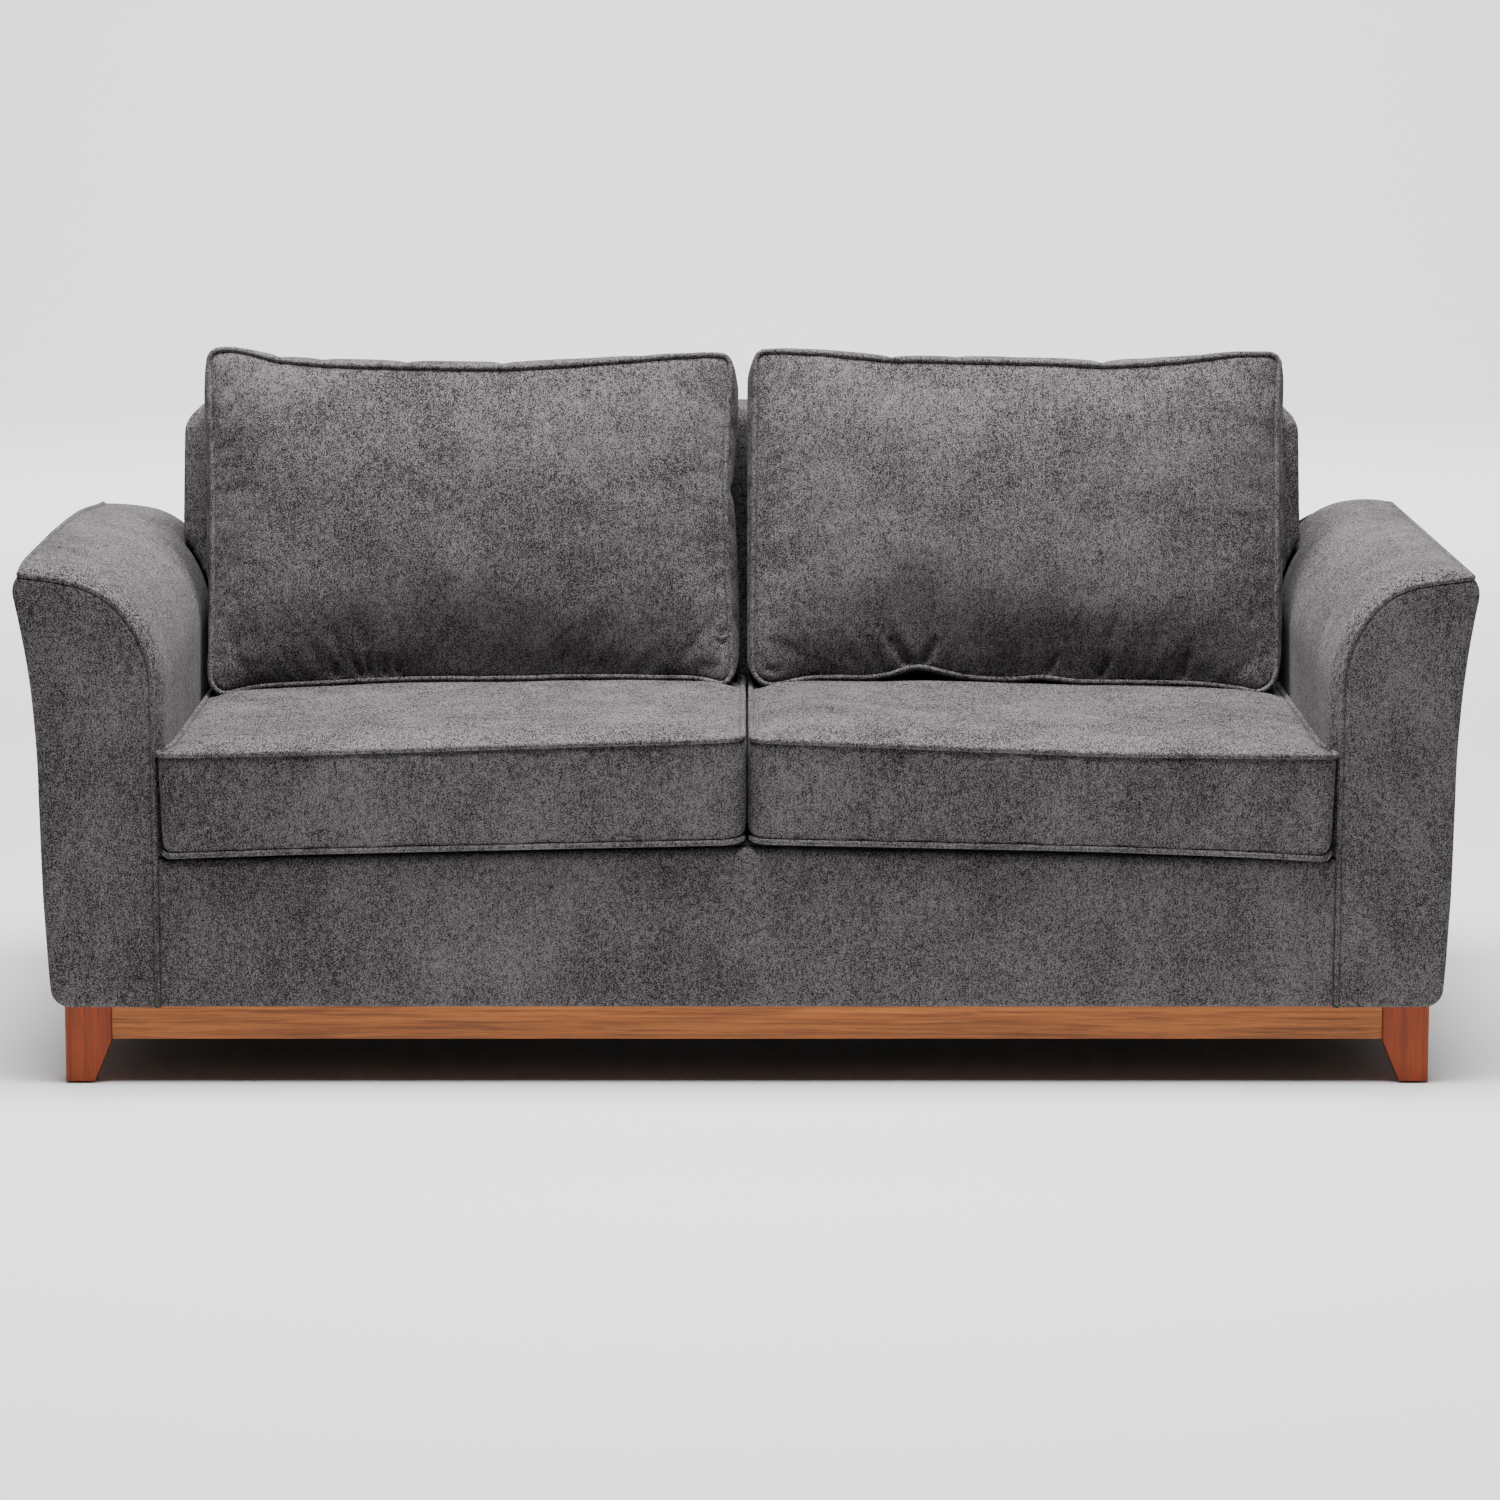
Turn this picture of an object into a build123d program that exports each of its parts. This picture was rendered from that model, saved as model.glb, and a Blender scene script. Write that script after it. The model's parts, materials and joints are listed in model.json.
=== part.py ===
# Two-seat sofa: flared arms with piped fronts, a separate low back, four loose box
# cushions and a wooden plinth on tapered feet.
# Millimetres. X runs along the sofa, Y from the front to the back and Z up.
# The origin is on the floor under the middle. "Left" is the side of negative X.
import math
import os

from build123d import *

os.makedirs("parts", exist_ok=True)

# Driving sizes of the whole sofa
sofa_depth = 880
seat_opening = 1596
arm_width = 150
arm_flare = 29
arm_height = 694
back_height = 852
back_width = 1652
base_underside = 107
fit_gap = 0.3
cut_overrun = 20

# Sewn trim
piping_radius = 4
piping_sides = 6

# Arm outline, seen from the front
shoulder_start_height = 542
lower_shoulder_radius = 165
lower_shoulder_angle = 40
upper_shoulder_radius = 106.6
upper_shoulder_angle = 41
arm_tip_setback = 7
arm_tip_drop = 29
flare_start_height = 400
foot_tuck = 6
foot_corner_radius = 24
arm_board_inset = 8
arm_pad_proud = 13
tip_pad_share = 0.25
crown_length = 60
crown_run_shares = (0, 0.14, 0.45, 1)
crown_rise_shares = (0, 0.55, 0.9, 1)

# Upholstery and boards
arm_front_setback = 15
outer_panel_thickness = 6
arm_board_thickness = 18
inner_board_thickness = 4
base_panel_thickness = 12
panel_edge = 3
rear_cover_thickness = 6
dust_cover_thickness = 1

# Seat deck
seat_fall = 17.5
deck_edge_height = 316.7
deck_cover_thickness = 1.7
deck_pad_thickness = 15
spring_wire = 3.6
spring_width = 46
spring_pitch = 50
spring_count = 8
clip_thickness = 1.5
clip_width = 56
clip_length = 26

# Base box
rail_thickness = 30
side_rail_thickness = 28
cross_rail_thickness = 32
cross_rail_height = 60
cross_rail_count = 2
corner_block_size = 85

# Arm rails
arm_rail_thickness = 25
arm_rail_height = 60
arm_floor_rail_height = 30
arm_floor_rail_width = 118
arm_top_rail_width = 55
arm_top_rail_height = 37
arm_top_rail_drop = 22
arm_bolt_diameter = 8
arm_bolt_head_diameter = 18
arm_bolt_head_height = 4
arm_bolt_count = 2
nut_height_share = 0.8
nut_radius_share = 0.9
nut_sides = 6

# Plinth
foot_top_width = 63
foot_bottom_width = 39
foot_side_setback = 22
foot_front_setback = 12
foot_edge = 2
glide_diameter = 26
glide_thickness = 3
apron_bottom_height = 61
apron_thickness = 20
apron_setback = 3
foot_bolt_diameter = 8
foot_bolt_length = 66

# Back
back_depth = 209
back_knee_height = 465
back_rake = 15
back_foam = 25
back_top_radius = 34
back_rear_radius = 12
back_knee_radius = 120
back_corner_radius = 40
back_post_thickness = 25
back_rail_height = 70
back_rail_thickness = 28
strap_thickness = 1.5
strap_width = 50
strap_count = 5
strap_pitch = 72
strap_start_share = 0.7

# Seat cushions
seat_side_gap = 0.5
seat_centre_gap = 1
seat_rear_gap = 2.5
seat_border = 132
seat_crown = 8
seat_corner_radius = 26
seat_draw = 3
seat_bulge = 3.5

# Back cushions
cushion_centre_gap = 14
cushion_outer_top = 778
cushion_outer_bottom = 768
cushion_top_height = 947
cushion_thickness = 150
cushion_crown = 36
cushion_corner_radius = 20
cushion_top_draw = 20
cushion_side_draw = 8
cushion_bulge = 6

# Zip fasteners of the cushion covers
zip_length = 560
zip_tape_width = 32
zip_tape_thickness = 1.2
zip_chain_width = 6
zip_chain_thickness = 2

# Cushion faces: shares of the run, each with its share of the rise
chord_draw = 5
lead_count = 2
corner_cut_share = 1 - 1 / math.sqrt(2)
crown_run_share = 0.62
crown_shares = ((0, 0), (0.05, 0.27), (0.16, 0.55), (0.34, 0.79), (0.6, 0.94), (1, 1))
flat_shares = ((0, 0), (0.3, 1))
bulge_shares = ((0.1, 0.55), (0.3, 1), (0.7, 1), (0.9, 0.55))

# Places worked out from the driving sizes
seam_offset = piping_radius + fit_gap
cushion_seam_offset = piping_radius + 2 * fit_gap
half_opening = seat_opening / 2
arm_outer = half_opening + arm_width
arm_reach = arm_outer + arm_flare
sofa_front = -sofa_depth / 2
sofa_rear = sofa_depth / 2
arm_front = sofa_front + arm_front_setback
arm_panel_rear = arm_front + 2 * piping_radius
arm_board_front = arm_panel_rear + fit_gap
rear_cover_front = sofa_rear - rear_cover_thickness
frame_rear = rear_cover_front - fit_gap
arm_frame_inner = half_opening + arm_board_inset
arm_pad_inner = half_opening - arm_pad_proud
base_front = arm_front + base_panel_thickness + fit_gap
deck_under_cover = deck_edge_height - deck_cover_thickness - fit_gap
deck_pad_bottom = deck_under_cover - deck_pad_thickness
rail_top = deck_pad_bottom - spring_wire - clip_thickness - 3 * fit_gap
back_face = sofa_rear - back_depth
slope_run = arm_pad_inner
seat_slope = math.degrees(math.atan2(seat_fall, slope_run))


def keep(piece, name):
    """Label a finished piece and write it."""
    piece.part.label = name
    export_step(piece.part, f"parts/{name}.step")


def keep_pair(piece, name):
    """Write a right-hand piece and its mirror image on the left."""
    keep(piece, f"{name}_right")
    with BuildPart() as twin:
        mirror(piece.part, about=Plane.YZ)
    keep(twin, f"{name}_left")


def front_view(y):
    """Plane at depth y whose sketches are seen from the front; it extrudes forwards."""
    return Plane(origin=(0, y, 0), x_dir=(1, 0, 0), z_dir=(0, -1, 0))


def side_view(x):
    """Plane at width x whose sketches read Y across and Z up; it extrudes to +X."""
    return Plane(origin=(x, 0, 0), x_dir=(0, 1, 0), z_dir=(1, 0, 0))


def block(x_range, y_range, z_range):
    """Rectangular timber between the given limits, added to the open part."""
    sizes = [limits[1] - limits[0] for limits in (x_range, y_range, z_range)]
    centre = [(limits[0] + limits[1]) / 2 for limits in (x_range, y_range, z_range)]
    with Locations(tuple(centre)):
        Box(*sizes)


def deck_height(x):
    """Top of the seat deck, which rises from both arms to the middle."""
    return deck_edge_height + seat_fall * (1 - abs(x) / slope_run)


# Arm outlines
def shoulder_line(proud, foot):
    """Inner edge of the right arm from its foot up, over the shoulder and out to the tip."""
    inner = half_opening - proud
    tip = (
        arm_reach - arm_tip_setback,
        arm_height + (proud * tip_pad_share if proud > 0 else proud),
    )
    upright = Line((inner, foot), (inner, shoulder_start_height))
    lower = JernArc(
        start=upright @ 1,
        tangent=(0, 1),
        radius=lower_shoulder_radius + proud,
        arc_size=-lower_shoulder_angle,
    )
    upper = JernArc(
        start=lower @ 1,
        tangent=lower % 1,
        radius=upper_shoulder_radius + proud,
        arc_size=-upper_shoulder_angle,
    )
    top = TangentArc(upper @ 1, tip, tangent=upper % 1)
    return top @ 1


def shoulder_face(proud, foot, mode=Mode.ADD):
    """Everything under the shoulder line, running past the outside of the arm."""
    beyond = arm_reach + cut_overrun
    with BuildLine() as outline:
        tip = shoulder_line(proud, foot)
        Polyline(
            tip,
            (beyond, tip.Y),
            (beyond, foot),
            (half_opening - proud, foot),
        )
    make_face(outline.edges(), mode=mode)


def side_face(inset, top, mode):
    """Everything inside the flared outer side of the right arm, up to the given height."""
    outer = arm_outer - inset
    low = base_underside + inset
    corner = foot_corner_radius - inset
    inner = half_opening - arm_pad_proud - cut_overrun
    with BuildLine() as outline:
        bottom = Line((inner, low), (outer - foot_tuck - corner, low))
        heel = TangentArc(
            bottom @ 1,
            (outer - foot_tuck, low + corner),
            tangent=(1, 0),
        )
        shin = Line(heel @ 1, (outer, flare_start_height))
        flare = TangentArc(
            shin @ 1,
            (arm_reach - inset, arm_height - arm_tip_drop),
            tangent=(0, 1),
        )
        tip = TangentArc(
            flare @ 1,
            (arm_reach - arm_tip_setback - inset, arm_height),
            tangent=flare % 1,
        )
        Polyline(tip @ 1, (tip @ 1) + Vector(0, top), (inner, arm_height + top), (inner, low))
    make_face(outline.edges(), mode=mode)


def tip_groove(reach, front, rear):
    """Channel along the arm's outer top edge, in which the side piping lies."""
    with BuildSketch(front_view(rear)) as groove:
        with Locations((arm_reach - arm_tip_setback, arm_height)):
            Circle(reach)
    extrude(groove.sketch, amount=rear - front, mode=Mode.SUBTRACT)


# Right arm, mirrored for the left
def arm_board(front):
    with BuildPart() as board:
        with BuildSketch(front_view(front + arm_board_thickness)):
            shoulder_face(-arm_board_inset, base_underside)
            side_face(outer_panel_thickness + fit_gap, cut_overrun, Mode.INTERSECT)
        extrude(amount=arm_board_thickness)
        tip_groove(seam_offset, front, front + arm_board_thickness)
    return board


keep_pair(arm_board(arm_board_front), "arm_front_board")
keep_pair(arm_board(frame_rear - arm_board_thickness), "arm_rear_board")

arm_bay_front = arm_board_front + arm_board_thickness
arm_bay_rear = frame_rear - arm_board_thickness
arm_bay = (arm_bay_front + fit_gap, arm_bay_rear - fit_gap)
inner_board_face = arm_frame_inner + inner_board_thickness
inner_rail = (inner_board_face + fit_gap, inner_board_face + arm_rail_thickness)
low_rail_height = (rail_top - arm_rail_height, rail_top)
bolt_height = rail_top - arm_rail_height / 2
sideways = (0, 90, 0)
bolt_spacing = (arm_bay_rear - arm_bay_front) / arm_bolt_count
bolt_places = [
    arm_bay_front + bolt_spacing * (index + 1 / 2) for index in range(arm_bolt_count)
]
floor_rail_outer = arm_frame_inner + arm_floor_rail_width
top_rail_outer = arm_reach - arm_tip_setback - arm_top_rail_drop
top_rail_top = arm_height - arm_top_rail_drop
foot_outer_half = arm_outer - foot_side_setback
foot_centre_x = foot_outer_half - foot_top_width / 2
foot_front = arm_front + foot_front_setback
foot_rear = sofa_rear - foot_front_setback
foot_centres_y = (foot_front + foot_top_width / 2, foot_rear - foot_top_width / 2)

with BuildPart() as arm_rails:
    block(inner_rail, arm_bay, low_rail_height)
    block(
        inner_rail,
        arm_bay,
        (shoulder_start_height - arm_rail_height, shoulder_start_height),
    )
    block(
        (top_rail_outer - arm_top_rail_width, top_rail_outer),
        arm_bay,
        (top_rail_top - arm_top_rail_height, top_rail_top),
    )
    block(
        (arm_frame_inner + fit_gap, floor_rail_outer),
        arm_bay,
        (base_underside, base_underside + arm_floor_rail_height),
    )
    for y in bolt_places:
        with Locations(Location((inner_rail[1], y, bolt_height), sideways)):
            Hole(arm_bolt_diameter / 2 + fit_gap, arm_rail_thickness)
    for y in foot_centres_y:
        with Locations((foot_centre_x, y, base_underside + arm_floor_rail_height)):
            Hole(foot_bolt_diameter / 2 + fit_gap, arm_floor_rail_height)
keep_pair(arm_rails, "arm_rails")

with BuildPart() as inner_board:
    block(
        (arm_frame_inner, inner_board_face),
        arm_bay,
        (low_rail_height[0], shoulder_start_height),
    )
    for y in bolt_places:
        with Locations(Location((inner_board_face, y, bolt_height), sideways)):
            Hole(arm_bolt_diameter / 2 + fit_gap, inner_board_thickness)
keep_pair(inner_board, "arm_inner_board")

pad_front = arm_board_front
pad_foot = deck_edge_height - deck_pad_thickness
with BuildPart() as arm_pad:
    for run_share, rise_share in zip(crown_run_shares, crown_rise_shares):
        with BuildSketch(front_view(pad_front + crown_length * run_share)):
            shoulder_face(arm_pad_proud * rise_share, pad_foot)
    loft(ruled=True)
    with BuildSketch(front_view(frame_rear)):
        shoulder_face(arm_pad_proud, pad_foot)
    extrude(amount=frame_rear - pad_front - crown_length)
    with BuildSketch(front_view(frame_rear + cut_overrun)):
        shoulder_face(fit_gap - arm_board_inset, pad_foot - cut_overrun)
    extrude(amount=frame_rear - pad_front + 2 * cut_overrun, mode=Mode.SUBTRACT)
    with BuildSketch(front_view(frame_rear)):
        side_face(outer_panel_thickness + fit_gap, cut_overrun, Mode.ADD)
    extrude(amount=frame_rear - pad_front, mode=Mode.INTERSECT)
    tip_groove(seam_offset, pad_front, frame_rear)
keep_pair(arm_pad, "arm_pad")

with BuildPart() as outer_panel:
    with BuildSketch(front_view(frame_rear)):
        side_face(0, cut_overrun, Mode.ADD)
        side_face(outer_panel_thickness, cut_overrun, Mode.SUBTRACT)
        with Locations((arm_reach, (arm_height + base_underside) / 2)):
            Rectangle(
                4 * foot_corner_radius,
                arm_height - base_underside,
                mode=Mode.INTERSECT,
            )
    extrude(amount=frame_rear - arm_board_front)
    tip_groove(seam_offset, arm_board_front, frame_rear)
keep_pair(outer_panel, "arm_outer_panel")

with BuildPart() as front_panel:
    with BuildSketch(front_view(arm_panel_rear)):
        shoulder_face(-seam_offset, base_underside)
        side_face(0, cut_overrun, Mode.INTERSECT)
    extrude(amount=arm_panel_rear - arm_front)
    chamfer(front_panel.faces().sort_by(Axis.Y)[0].outer_wire().edges(), panel_edge)
    tip_groove(seam_offset, arm_front, arm_panel_rear)
keep_pair(front_panel, "arm_front_panel")

piping_plane_y = arm_front + piping_radius
with BuildPart() as arm_piping:
    with BuildLine(front_view(piping_plane_y)) as front_seam:
        shoulder_line(0, base_underside)
    with BuildSketch(Plane(origin=front_seam.line @ 0, z_dir=front_seam.line % 0)):
        RegularPolygon(piping_radius, piping_sides)
    sweep(path=front_seam.line)
    with BuildSketch(front_view(frame_rear)):
        with Locations((arm_reach - arm_tip_setback, arm_height)):
            RegularPolygon(piping_radius, piping_sides)
    extrude(amount=frame_rear - arm_board_front)
keep_pair(arm_piping, "arm_piping")

# Plinth: four tapered block feet on glides, with a board between each pair
foot_top = base_underside - fit_gap
foot_inner_top = foot_outer_half - foot_top_width
foot_inner_bottom = foot_outer_half - foot_bottom_width
foot_inner_y = foot_front + foot_top_width
plinth_middle = (foot_front + foot_rear) / 2
plinth_mirror = Plane(origin=(0, plinth_middle, 0), z_dir=(0, 1, 0))

with BuildPart() as foot:
    with BuildSketch(front_view(foot_inner_y)):
        with BuildLine():
            Polyline(
                (foot_inner_top, foot_top),
                (foot_outer_half, foot_top),
                (foot_outer_half, glide_thickness),
                (foot_inner_bottom, glide_thickness),
                (foot_inner_top, apron_bottom_height),
                close=True,
            )
        make_face()
    extrude(amount=foot_top_width)
    with BuildSketch(side_view(foot_inner_top)):
        with BuildLine():
            Polyline(
                (foot_front, foot_top),
                (foot_inner_y, foot_top),
                (foot_inner_y, apron_bottom_height),
                (foot_front + foot_bottom_width, glide_thickness),
                (foot_front, glide_thickness),
                close=True,
            )
        make_face()
    extrude(amount=foot_top_width, mode=Mode.INTERSECT)
    chamfer(foot.edges().filter_by(Axis.Z), foot_edge)
    with Locations((foot_centre_x, foot_centres_y[0], foot_top)):
        Hole(foot_bolt_diameter / 2 + fit_gap, foot_bolt_length - arm_floor_rail_height)
keep_pair(foot, "foot_front")
with BuildPart() as rear_foot:
    mirror(foot.part, about=plinth_mirror)
keep_pair(rear_foot, "foot_rear")

glide_x = foot_outer_half - foot_bottom_width / 2
glide_reach_y = plinth_middle - foot_front - foot_bottom_width / 2
with BuildPart() as foot_glides:
    with BuildSketch(Plane((0, plinth_middle, 0))):
        with GridLocations(2 * glide_x, 2 * glide_reach_y, 2, 2):
            Circle(glide_diameter / 2)
    extrude(amount=glide_thickness - fit_gap)
keep(foot_glides, "foot_glides")

bolt_reach_y = plinth_middle - foot_centres_y[0]
bolt_foot = base_underside + arm_floor_rail_height - foot_bolt_length + fit_gap
with BuildPart() as foot_bolts:
    with BuildSketch(Plane((0, plinth_middle, bolt_foot))):
        with GridLocations(2 * foot_centre_x, 2 * bolt_reach_y, 2, 2):
            Circle(foot_bolt_diameter / 2)
    extrude(amount=foot_bolt_length - 2 * fit_gap)
keep(foot_bolts, "foot_bolts")

apron_height = (apron_bottom_height, foot_top)
apron_front_face = foot_front + apron_setback
apron_side_face = foot_outer_half - apron_setback
apron_half = foot_inner_top - fit_gap
with BuildPart() as apron_front:
    block(
        (-apron_half, apron_half),
        (apron_front_face, apron_front_face + apron_thickness),
        apron_height,
    )
keep(apron_front, "apron_front")
with BuildPart() as apron_rear:
    mirror(apron_front.part, about=plinth_mirror)
keep(apron_rear, "apron_rear")
with BuildPart() as apron_side:
    block(
        (apron_side_face - apron_thickness, apron_side_face),
        (foot_inner_y + fit_gap, 2 * plinth_middle - foot_inner_y - fit_gap),
        apron_height,
    )
keep_pair(apron_side, "apron_side")

# Base box
base_half = arm_frame_inner - fit_gap
rail_height = (base_underside, rail_top)
front_rail = (base_front, base_front + rail_thickness)
rear_rail = (frame_rear - rail_thickness, frame_rear)
rail_bay = (front_rail[1] + fit_gap, rear_rail[0] - fit_gap)
with BuildPart() as base_rail_front:
    block((-base_half, base_half), front_rail, rail_height)
keep(base_rail_front, "base_rail_front")
with BuildPart() as base_rail_rear:
    block((-base_half, base_half), rear_rail, rail_height)
keep(base_rail_rear, "base_rail_rear")

side_rail_inner = base_half - side_rail_thickness
with BuildPart() as base_rail_side:
    block((side_rail_inner, base_half), rail_bay, rail_height)
    for y in bolt_places:
        with Locations(Location((base_half, y, bolt_height), sideways)):
            Hole(arm_bolt_diameter / 2 + fit_gap, side_rail_thickness)
keep_pair(base_rail_side, "base_rail_side")

bay_length = rail_bay[1] - rail_bay[0]
bay_middle = (rail_bay[0] + rail_bay[1]) / 2
with BuildPart() as base_cross_rails:
    with BuildSketch(Plane((0, bay_middle, base_underside))):
        with GridLocations(2 * side_rail_inner / (cross_rail_count + 1), 0, cross_rail_count, 1):
            Rectangle(cross_rail_thickness, bay_length)
    extrude(amount=cross_rail_height)
keep(base_cross_rails, "base_cross_rails")

with BuildPart() as corner_blocks:
    with BuildSketch(Plane((0, bay_middle, base_underside))):
        corner_x = side_rail_inner - fit_gap
        corner_y = bay_length / 2
        with BuildLine():
            Polyline(
                (corner_x, corner_y),
                (corner_x - corner_block_size, corner_y),
                (corner_x, corner_y - corner_block_size),
                close=True,
            )
        make_face()
        mirror(about=Plane.XZ)
        mirror(about=Plane.YZ)
    extrude(amount=cross_rail_height)
keep(corner_blocks, "corner_blocks")

dust_half = apron_side_face - apron_thickness - fit_gap
dust_reach = plinth_middle - apron_front_face - apron_thickness - fit_gap
with BuildPart() as dust_cover:
    with BuildSketch(Plane((0, plinth_middle, base_underside - fit_gap - dust_cover_thickness))):
        Rectangle(2 * dust_half, 2 * dust_reach)
        with GridLocations(2 * foot_centre_x, 2 * bolt_reach_y, 2, 2):
            Rectangle(
                foot_top_width + 2 * fit_gap,
                foot_top_width + 2 * fit_gap,
                mode=Mode.SUBTRACT,
            )
    extrude(amount=dust_cover_thickness)
keep(dust_cover, "dust_cover")

nut_height = arm_bolt_diameter * nut_height_share
nut_seat = side_rail_inner - fit_gap
head_seat = inner_rail[1] + fit_gap
with BuildPart() as arm_bolts:
    for y in bolt_places:
        shank_plane = Plane(origin=(nut_seat - nut_height, y, bolt_height), z_dir=(1, 0, 0))
        with BuildSketch(shank_plane):
            Circle(arm_bolt_diameter / 2)
        extrude(amount=head_seat - nut_seat + nut_height)
        with BuildSketch(shank_plane.offset(head_seat - nut_seat + nut_height)):
            Circle(arm_bolt_head_diameter / 2)
        extrude(amount=arm_bolt_head_height)
        with BuildSketch(shank_plane):
            RegularPolygon(arm_bolt_diameter * nut_radius_share, nut_sides)
        extrude(amount=nut_height)
    mirror(about=Plane.YZ)
keep(arm_bolts, "arm_bolts")


# Seat deck
def deck_section(half, low_edge, high_edge, low_ridge):
    """Front view of a deck layer whose top slopes up to the middle."""
    rise = seat_fall * half / slope_run
    with BuildLine() as outline:
        Polyline(
            (-half, low_edge),
            (0, low_ridge),
            (half, low_edge),
            (half, high_edge),
            (0, high_edge + rise),
            (-half, high_edge),
            close=True,
        )
    make_face(outline.edges())


deck_half = arm_pad_inner - fit_gap
deck_rise = seat_fall * deck_half / slope_run
with BuildPart() as deck_cover:
    with BuildSketch(front_view(back_face - fit_gap)):
        deck_section(
            deck_half,
            deck_edge_height - deck_cover_thickness,
            deck_edge_height,
            deck_edge_height - deck_cover_thickness + deck_rise,
        )
    extrude(amount=back_face - fit_gap - arm_front)
keep(deck_cover, "deck_cover")
with BuildPart() as deck_pad:
    with BuildSketch(front_view(back_face - fit_gap)):
        deck_section(deck_half, deck_pad_bottom, deck_under_cover, deck_pad_bottom)
    extrude(amount=back_face - fit_gap - base_front)
keep(deck_pad, "deck_pad")

panel_half = half_opening - seam_offset
with BuildPart() as base_front_panel:
    with BuildSketch(front_view(arm_front + base_panel_thickness)):
        deck_section(panel_half, base_underside, deck_under_cover, base_underside)
    extrude(amount=base_panel_thickness)
    chamfer(base_front_panel.faces().sort_by(Axis.Y)[0].outer_wire().edges(), panel_edge)
keep(base_front_panel, "base_front_panel")

spring_bottom = rail_top + clip_thickness + 2 * fit_gap
spring_front = front_rail[0] + rail_thickness / 2
spring_rear = rear_rail[0] + rail_thickness / 2
spring_spacing = 2 * arm_pad_inner / spring_count
spring_runs = round((spring_rear - spring_front) / spring_pitch)
spring_step = (spring_rear - spring_front) / spring_runs
with BuildPart() as spring:
    with BuildLine(Plane.XY.offset(spring_bottom + spring_wire / 2)) as zigzag:
        turns = []
        for run in range(spring_runs):
            side = spring_width / 2 if run % 2 else -spring_width / 2
            turns.append((side, spring_front + spring_step * run))
            turns.append((side, spring_front + spring_step * (run + 1)))
        Polyline(*turns)
    with BuildSketch(Plane(origin=zigzag.line @ 0, z_dir=zigzag.line % 0)):
        Rectangle(spring_wire, spring_wire)
    sweep(path=zigzag.line, transition=Transition.RIGHT)
with BuildPart() as seat_springs:
    with GridLocations(spring_spacing, 0, spring_count, 1):
        add(spring.part)
keep(seat_springs, "seat_springs")

clip_middle = (spring_front + spring_rear) / 2
with BuildPart() as spring_clips:
    with BuildSketch(Plane((0, clip_middle, rail_top + fit_gap))):
        with GridLocations(spring_spacing, spring_rear - spring_front, spring_count, 2):
            Rectangle(clip_width, clip_length)
    extrude(amount=clip_thickness)
keep(spring_clips, "spring_clips")


# Back
rake_sine = math.sin(math.radians(back_rake))
rake_cosine = math.cos(math.radians(back_rake))
half_rake_tangent = math.tan(math.radians(back_rake / 2))


def knee_point(inset):
    """Where the face of the back turns from upright to raked, set in from its surface."""
    return back_face + inset, back_knee_height - inset * half_rake_tangent


def back_profile(inset, foot, rear):
    """Side view of the back, set in from its upholstered surface."""
    knee_y, knee_z = knee_point(inset)
    top = back_height - inset
    with BuildLine() as outline:
        shell = FilletPolyline(
            (knee_y, foot),
            (knee_y, knee_z),
            (knee_y + (top - knee_z) * rake_sine / rake_cosine, top),
            (rear, top),
            (rear, foot),
            radius=(back_knee_radius, back_top_radius - inset, back_rear_radius),
        )
        Line(shell @ 1, shell @ 0)
    make_face(outline.edges())


def back_outline(inset, foot):
    """Front view of the back, which follows the arms and stands above them."""
    half = back_width / 2 - inset
    top = back_height - inset
    with Locations((half / 2, (foot + top) / 2)):
        Rectangle(half, top - foot)
    shoulder_face(arm_pad_proud + fit_gap + inset, foot, Mode.SUBTRACT)


def back_form(inset, foot, rear):
    """Solid back, set in from its upholstered surface."""
    with BuildPart() as form:
        with BuildSketch(side_view(-back_width / 2)):
            back_profile(inset, foot, rear)
        extrude(amount=back_width)
        with BuildSketch(front_view(rear)) as outline:
            back_outline(inset, foot)
            mirror(about=Plane.YZ)
            fillet(outline.vertices().group_by(Axis.Y)[-1], back_corner_radius - inset)
        extrude(amount=rear - sofa_front, mode=Mode.INTERSECT)
    return form


back_shell = back_form(0, deck_pad_bottom, frame_rear)
back_cavity = back_form(back_foam, deck_pad_bottom - cut_overrun, frame_rear + cut_overrun)
with BuildPart() as back_pad:
    add(back_shell.part)
    add(back_cavity.part, mode=Mode.SUBTRACT)
keep(back_pad, "back_pad")

strap_inset = back_foam + fit_gap + strap_thickness
post_outer = arm_pad_inner - back_foam - 2 * fit_gap
post_middle = post_outer - back_post_thickness / 2
with BuildPart() as back_posts:
    for x in (-post_middle, 0, post_middle):
        with BuildSketch(side_view(x - back_post_thickness / 2)):
            back_profile(strap_inset + fit_gap, rail_top + fit_gap, frame_rear)
        extrude(amount=back_post_thickness)
keep(back_posts, "back_posts")

back_bay = (back_post_thickness / 2 + fit_gap, post_outer - back_post_thickness - fit_gap)
back_rail = (frame_rear - back_rail_thickness, frame_rear)
back_frame_top = back_height - strap_inset - fit_gap - back_rear_radius
with BuildPart() as back_top_rail:
    block(back_bay, back_rail, (back_frame_top - back_rail_height, back_frame_top))
    mirror(about=Plane.YZ)
keep(back_top_rail, "back_top_rail")
with BuildPart() as back_bottom_rail:
    block(back_bay, back_rail, (deck_edge_height, deck_edge_height + back_rail_height))
    mirror(about=Plane.YZ)
keep(back_bottom_rail, "back_bottom_rail")

strap_plane = Plane(
    origin=(0, *knee_point(strap_inset)),
    x_dir=(1, 0, 0),
    z_dir=(0, -rake_cosine, rake_sine),
)
with BuildPart() as back_webbing:
    with BuildSketch(strap_plane):
        for index in range(strap_count):
            with Locations((0, strap_pitch * (index + strap_start_share))):
                Rectangle(2 * post_outer, strap_width)
    extrude(amount=strap_thickness)
keep(back_webbing, "back_webbing")

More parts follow.
